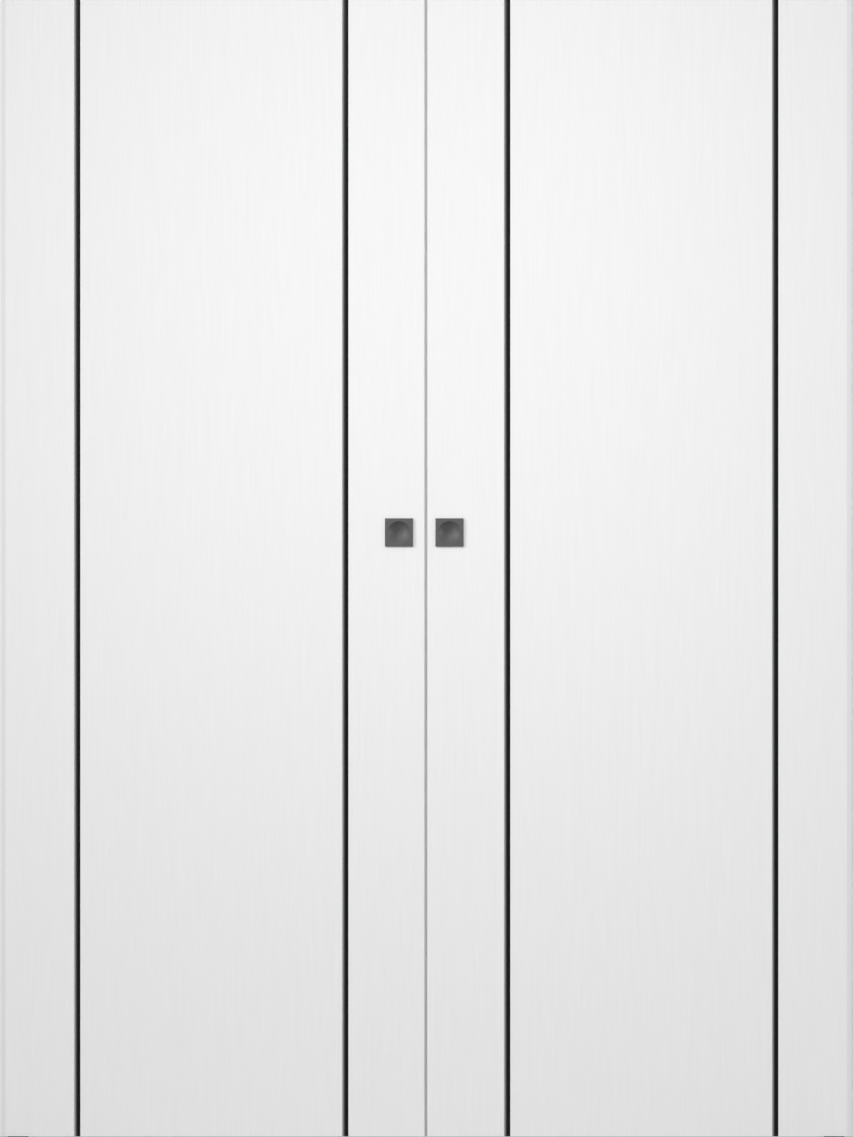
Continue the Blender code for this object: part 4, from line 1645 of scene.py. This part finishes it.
@dataclass
class TrackStop:
    """A stop block that is clamped in the track, with its screw.

    Attributes:
        label: The stop's name in node and piece names.
        edge_radius: Rounding of the block's edges.
        pocket_length: Nearest length of the moulded pockets in its sides.
        pocket_depth: Depth of those pockets.
        pocket_radius: Rounding of their corners.
        pocket_steps: Chords in each of those corners.
        pocket_taper: Size of a pocket's floor, as a share of its mouth.
        rib: Thickness of the wall that stands round them.
        screw_diameter: Width of the clamping screw's hole.
        screw_play: Room round the screw.
        screw_sunk: Depth of the screw's ends inside the block.
        screw_chamfer: Bevel of the screw's ends.
        thread_depth: Height of the screw's thread.
        thread_pitch: Rise of one turn of it.
        socket: Width of the screw's key socket across its flats.
        socket_depth: Depth of that socket.
        steps: Points round the screw.
    """

    label: str
    edge_radius: float = 0.5 * MM
    pocket_length: float = 15 * MM
    pocket_depth: float = 2.4 * MM
    pocket_radius: float = 2 * MM
    pocket_steps: int = 4
    pocket_taper: float = 0.92
    rib: float = 2.4 * MM
    screw_diameter: float = 6 * MM
    screw_play: float = 0.1 * MM
    screw_sunk: float = 1 * MM
    screw_chamfer: float = 0.5 * MM
    thread_depth: float = 0.5 * MM
    thread_pitch: float = 1 * MM
    socket: float = 3.3 * MM
    socket_depth: float = 3 * MM
    steps: int = 36

    def build(self, bench: Bench) -> None:
        """Build and dress the stop.

        Args:
            bench: Makes the pieces.
        """
        box = Box.of(f"{self.label}_stop")
        half = box.size / 2
        mesh = moved(block(half.x, half.y, -half.z, half.z), box.centre)
        drill = rod(self.screw_diameter / 2, -box.size.z, box.size.z, self.steps)
        mesh = worked(worked(mesh, moved(drill, box.centre)), self._pockets(box))
        bench.add(f"{self.label}_stopper", mesh, (Surface.BLACK_NYLON,), "track", "black_nylon",
                  [f"{self.label}_stop"], self.edge_radius)
        self._grub_screw(bench, box)

    def _pockets(self, box: Box) -> Mesh:
        """Cutters for the tapered pockets in both long sides.

        Args:
            box: The block's box.

        Returns:
            All the cutters in one mesh.
        """
        count = 2 * max(1, round(box.size.x / self.pocket_length / 2))
        pitch = (box.size.x - self.rib) / count
        mouth = rounded_rectangle((pitch - self.rib) / 2, box.size.z / 2 - self.rib,
                                  self.pocket_radius, self.pocket_steps)
        floor = [(self.pocket_taper * along, self.pocket_taper * height)
                 for along, height in mouth]
        cutters = []
        for face, number in product(Face, range(count)):
            place = Vector((box.low.x + self.rib / 2 + (number + 0.5) * pitch,
                            face.value * box.size.y / 2, box.centre.z))
            cutter = loft([ring_of(floor, -self.pocket_depth), ring_of(mouth, 0),
                           ring_of(mouth, self.pocket_depth)])
            cutters.append(moved(cutter, place, face.value * ACROSS))
        return gathered(cutters)

    def _grub_screw(self, bench: Bench, box: Box) -> None:
        """The clamping screw, with its key socket facing down through the slot.

        Args:
            bench: Makes the piece.
            box: The block's box.
        """
        radius, chamfer = self.screw_diameter / 2 - self.screw_play, self.screw_chamfer
        low, high = box.low.z + self.screw_sunk, box.high.z - self.screw_sunk
        rings = [hexagon(self.socket, low + self.socket_depth, self.steps),
                 hexagon(self.socket, low, self.steps),
                 circle(radius - chamfer, low, self.steps)]
        rings += threaded(radius, self.thread_depth, self.thread_pitch, low + chamfer,
                          high - chamfer, self.steps)
        rings.append(circle(radius - chamfer, high, self.steps))
        bench.add(f"{self.label}_clamping_screw",
                  moved(loft(rings), Vector((box.centre.x, 0, 0))), (Surface.ZINC_STEEL,), "track",
                  "zinc_steel")


@dataclass
class EndBuffer:
    """The rubber buffer on an end stop's face, with a soft nose and a waist.

    Attributes:
        side: Which end of the track.
        nose: Rounding of the nose.
        root: Bevel where it sits on the stop.
        collar: Length of the thick part at the root, as a share of the whole.
        waist: Place of the waist, as a share of the length.
        waist_radius: Radius of the waist's hollow.
        waist_offset: How far outside the surface the hollow's centre lies.
        waist_arc: First and last angle of the hollow, in degrees.
        waist_steps: Chords in the hollow.
        nose_steps: Chords in the nose.
        steps: Points round the buffer.
    """

    side: Side
    nose: float = 2.4 * MM
    root: float = 0.35 * MM
    collar: float = 0.22
    waist: float = 0.33
    waist_radius: float = 1.1 * MM
    waist_offset: float = 0.3 * MM
    waist_arc: Point = (250, 110)
    waist_steps: int = 6
    nose_steps: int = 8
    steps: int = 36

    def build(self, bench: Bench) -> None:
        """Build and dress the buffer.

        Args:
            bench: Makes the piece.
        """
        node = f"{self.side.label}_end_buffer"
        box = Box.of(node)
        radius, length = box.size.z / 2, box.size.x
        profile = [(0, 0), (radius - self.root, 0), (radius, self.root),
                   (radius, self.collar * length)]
        profile += arc((radius + self.waist_offset, self.waist * length), self.waist_radius,
                       *self.waist_arc, self.waist_steps)
        profile += arc((radius - self.nose, length - self.nose), self.nose, 0, 90,
                       self.nose_steps)
        profile.append((0, length))
        inward = -self.side.value * ALONG
        seat = box.centre - inward * length / 2
        bench.add(f"{node}_cushion", moved(turned(profile, self.steps), seat, inward),
                  (Surface.RUBBER,), "track", "buffer_rubber", [node])


@dataclass
class FloorGuide:
    """The floor plate with a fin for the groove under a leaf, and its screws.

    Attributes:
        side: Which leaf it guides.
        base_height: Thickness of the plate.
        fin_length: Length of the fin along the track.
        fin_width: Thickness of the fin.
        fin_steps: Chords in the fin's round top.
        screw_offset: Distance of a screw from the middle.
        corner_radius: Rounding of the plate's corners.
        corner_steps: Chords in each of those corners.
        edge_radius: Rounding of the edges.
    """

    side: Side
    base_height: float = 3 * MM
    fin_length: float = 36 * MM
    fin_width: float = 6.8 * MM
    fin_steps: int = 12
    screw_offset: float = 26 * MM
    corner_radius: float = 8 * MM
    corner_steps: int = 8
    edge_radius: float = 0.5 * MM

    def build(self, bench: Bench) -> None:
        """Build and dress the guide.

        Args:
            bench: Makes the pieces.
        """
        node = f"{self.side.label}_floor_guide"
        box = Box.of(node)
        half = box.size / 2
        foot = Vector((box.centre.x, 0, 0))
        outline = rounded_rectangle(half.x, half.y, self.corner_radius, self.corner_steps)
        mesh = upright(outline, box.low.z, box.low.z + self.base_height)
        fin_half = self.fin_width / 2
        nose = [(fin_half, self.base_height / 2)]
        nose += arc((0, box.high.z - fin_half), fin_half, 0, 180, self.fin_steps)
        nose.append((-fin_half, self.base_height / 2))
        fin = lengthwise(nose, -self.fin_length / 2, self.fin_length / 2)
        mesh = worked(mesh, fin, "UNION")
        screw = Screw()
        heads = []
        for end in (-1, 1):
            place = Vector((end * self.screw_offset, 0, box.low.z + self.base_height))
            mesh = worked(mesh, moved(screw.hole(2 * self.base_height), place))
            heads.append(moved(self._screw_head(screw), foot + place))
        bench.add(f"{self.side.label}_guide_plate", moved(mesh, foot), (Surface.BLACK_NYLON,),
                  "track", "black_nylon", [node], self.edge_radius)
        bench.add(f"{self.side.label}_guide_screws", gathered(heads), (Surface.ZINC_STEEL,),
                  "track", "zinc_steel")

    def _screw_head(self, screw: Screw) -> Mesh:
        """The part of a screw that stays above the floor."""
        room = screw.head_diameter
        return worked(screw.build(), block(room, room, -2 * screw.length, -self.base_height))


@dataclass(frozen=True)
class Softbox:
    """A rectangular studio light.

    Attributes:
        name: Name of the light.
        place: Its centre.
        target: The point that it faces.
        width: Its width.
        height: Its height.
        radiance: Its brightness, where one is a white surface in plain light.
        spread: Angle of its beam in degrees.
    """

    name: str
    place: tuple[float, float, float]
    target: tuple[float, float, float]
    width: float
    height: float
    radiance: float
    spread: float = 180.0

    def build(self) -> None:
        """Hang the light in the studio."""
        lamp = bpy.data.lights.new(self.name, "AREA")
        lamp.shape = "RECTANGLE"
        lamp.size = self.width
        lamp.size_y = self.height
        lamp.energy = math.pi * self.width * self.height * self.radiance
        lamp.spread = math.radians(self.spread)
        light = bpy.data.objects.new(self.name, lamp)
        light.location = self.place
        aim = Vector(self.target) - Vector(self.place)
        light.rotation_euler = aim.to_track_quat("-Z", "Y").to_euler()
        light.visible_camera = False
        bpy.context.scene.collection.objects.link(light)


@dataclass(frozen=True)
class Glow:
    """A part of the room in reflections, which grows or fades along one axis.

    Attributes:
        axis: Name of the axis.
        span: Shares of a direction along that axis between which it changes.
        levels: Brightness at the ends of the span and past them.
    """

    axis: str
    span: Point
    levels: Point

    def drawn(self, sheet: NodeSheet, direction: Node) -> Socket:
        """Its brightness in a direction."""
        return sheet.ranged(direction.outputs[self.axis], self.span, self.levels)


@dataclass
class Studio:
    """Floor, surroundings, lights and camera.

    Attributes:
        floor_half: Half of the floor's length.
        floor_drop: Gap between the floor and the part's foot.
        bounce: Tone of the floor in the light that it sends back to the part.
        horizon: Brightness of the surroundings at eye level.
        zenith: Brightness of the surroundings overhead.
        sky_span: Height in a direction between which it goes from one to the other.
        left_rise: How the low row of lamps on the left grows to the left, before squaring.
        left_fall: Brightness of that row, and how it ends.
        right_lamps: The low row of lamps on the far right.
        row_span: Height in a direction between which both rows end, up and down.
        room: The other pale parts of the room in reflections: ceiling, floor and backdrop.
        backdrop: Tone that the camera sees behind the part.
        lens: Focal length of the camera in millimetres.
        clip_end: How far the camera sees.
        frame_height: Height of the view on the door's face.
        frame_foot: Height of the view's lower edge on the door's face.
        camera_x: Place of the camera along X.
        lights: The studio lights.
    """

    floor_half: float = 120.0
    floor_drop: float = 0.3 * MM
    bounce: float = 0.44
    horizon: float = 0.485
    zenith: float = 0.555
    sky_span: Point = (0.0, 0.9)
    left_rise: Glow = Glow("X", (0.0, -0.7), (0.0, 1.0))
    left_fall: Glow = Glow("X", (-0.74, -0.86), (6.5, 0.0))
    right_lamps: Glow = Glow("X", (0.8, 0.92), (0.0, 10.0))
    row_span: Point = (0.12, 0.26)
    room: tuple[Glow, ...] = (
        Glow("Z", (0.3, 0.9), (0.05, 0.7)),
        Glow("Z", (-0.3, -0.7), (0.0, 0.6)),
        Glow("Y", (0.1, 0.4), (0.0, 0.5)),
    )
    backdrop: float = 0.8
    lens: float = 200.0
    clip_end: float = 1000.0
    frame_height: float = 2.0165
    frame_foot: float = 0.0067
    camera_x: float = 0.0005
    lights: tuple[Softbox, ...] = (
        Softbox("left_softbox", (-64.8, -36.0, 31.1), (0.0, 0.0, 1.1), 20.0, 52.0, 11.0),
        Softbox("right_softbox", (10.1, -3.3, 6.7), (0.0, 0.0, 1.1), 5.0, 8.0, 1.6),
        Softbox("top_softbox", (0.0, -4.4, 4.0), (0.0, 0.0, 1.3), 1.2, 0.8, 1.68, 40.0),
        Softbox("back_softbox", (8.0, 15.0, 10.0), (0.0, 0.0, 1.0), 8.0, 8.0, 6.5),
    )

    def build(self, bench: Bench) -> None:
        """Set up the studio.

        Args:
            bench: Holds the floor's finish.
        """
        self._floor(bench)
        self._surroundings()
        for light in self.lights:
            light.build()
        self._camera()

    def _floor(self, bench: Bench) -> None:
        """A plain pale floor just under the part, left out of reflections.

        Args:
            bench: Holds its finish.
        """
        data = bpy.data.meshes.new("studio_floor")
        reach = self.floor_half
        corners = [(x * reach, y * reach, -self.floor_drop)
                   for x, y in ((-1, -1), (1, -1), (1, 1), (-1, 1))]
        data.from_pydata(corners, [], [(0, 1, 2, 3)])
        material = bench.materials[Surface.STUDIO_FLOOR]
        sheet = NodeSheet(material.node_tree)
        path = sheet.add("LightPath")
        shader = material.node_tree.nodes["Principled BSDF"]
        bounced = sheet.add("BsdfDiffuse", Color=(*grey(self.bounce), 1.0))
        for ray, other in (("Is Diffuse Ray", bounced),
                           ("Is Glossy Ray", sheet.add("BsdfTransparent"))):
            mixed = sheet.add("MixShader")
            sheet.fill(mixed.inputs[0], path.outputs[ray])
            sheet.fill(mixed.inputs[1], shader.outputs[0])
            sheet.fill(mixed.inputs[2], other.outputs[0])
            shader = mixed
        sheet.fill(material.node_tree.nodes["Material Output"].inputs["Surface"], shader.outputs[0])
        data.materials.append(material)
        floor = bpy.data.objects.new("studio_floor", data)
        bpy.context.scene.collection.objects.link(floor)

    def _reflections(self, sheet: NodeSheet, direction: Node) -> Socket:
        """What shiny surfaces mirror: a pale room, dark in front, with two low rows of lamps.

        Args:
            sheet: The world's sheet.
            direction: Splits the direction of a ray.

        Returns:
            The brightness in that direction.
        """
        rise = sheet.math("POWER", self.left_rise.drawn(sheet, direction), 2.0)
        left = sheet.math("MULTIPLY", rise, self.left_fall.drawn(sheet, direction))
        right = self.right_lamps.drawn(sheet, direction)
        height = sheet.math("ABSOLUTE", direction.outputs["Z"], 0.0)
        low_row = sheet.ranged(height, self.row_span, (1.0, 0.0))
        seen = sheet.math("MULTIPLY", sheet.math("ADD", left, right), low_row)
        for glow in self.room:
            seen = sheet.math("ADD", seen, glow.drawn(sheet, direction))
        return seen

    def _surroundings(self) -> None:
        """Soft light from all round, brighter overhead, in front of an even pale backdrop."""
        world = bpy.data.worlds.new("studio")
        world.use_nodes = True
        bpy.context.scene.world = world
        sheet = NodeSheet(world.node_tree)
        direction = sheet.add("SeparateXYZ", Vector=sheet.add("TexCoord").outputs["Generated"])
        path = sheet.add("LightPath")
        soft = sheet.ranged(direction.outputs["Z"], self.sky_span, (self.horizon, self.zenith))
        lit = sheet.either(path.outputs["Is Glossy Ray"], soft, self._reflections(sheet, direction))
        light = world.node_tree.nodes["Background"]
        light.inputs["Color"].default_value = (1, 1, 1, 1)
        sheet.fill(light.inputs["Strength"],
                   sheet.either(path.outputs["Is Camera Ray"], lit, self.backdrop))

    def _camera(self) -> None:
        """A long lens square on to the door's face."""
        data = bpy.data.cameras.new("camera")
        data.lens = self.lens
        data.clip_end = self.clip_end
        camera = bpy.data.objects.new("camera", data)
        distance = self.frame_height * self.lens / data.sensor_width
        face = Box.of(f"{Side.LEFT.label}_front_skin").low.y
        camera.location = (self.camera_x, face - distance,
                           self.frame_foot + self.frame_height / 2)
        camera.rotation_euler = (math.pi / 2, 0, 0)
        bpy.context.scene.collection.objects.link(camera)
        bpy.context.scene.camera = camera


def main() -> None:
    """Build the door's looks in order."""
    logging.basicConfig(level=logging.INFO, format="%(name)s: %(message)s")
    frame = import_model()
    bpy.context.scene.view_settings.view_transform = "Standard"
    bench = Bench()
    Studio().build(bench)
    TopTrack().build(bench)
    TrackStop("centre").build(bench)
    for side in Side:
        TrackStop(f"{side.label}_end").build(bench)
        EndBuffer(side).build(bench)
        FloorGuide(side).build(bench)
        pull = FlushPull(side)
        pull.build(bench)
        DoorLeaf(side).build(bench, frame["nodes"], pull)
        for place in Place:
            Hanger(side, place).build(bench)
            Trolley(side, place).build(bench)


if __name__ == "__main__":
    main()
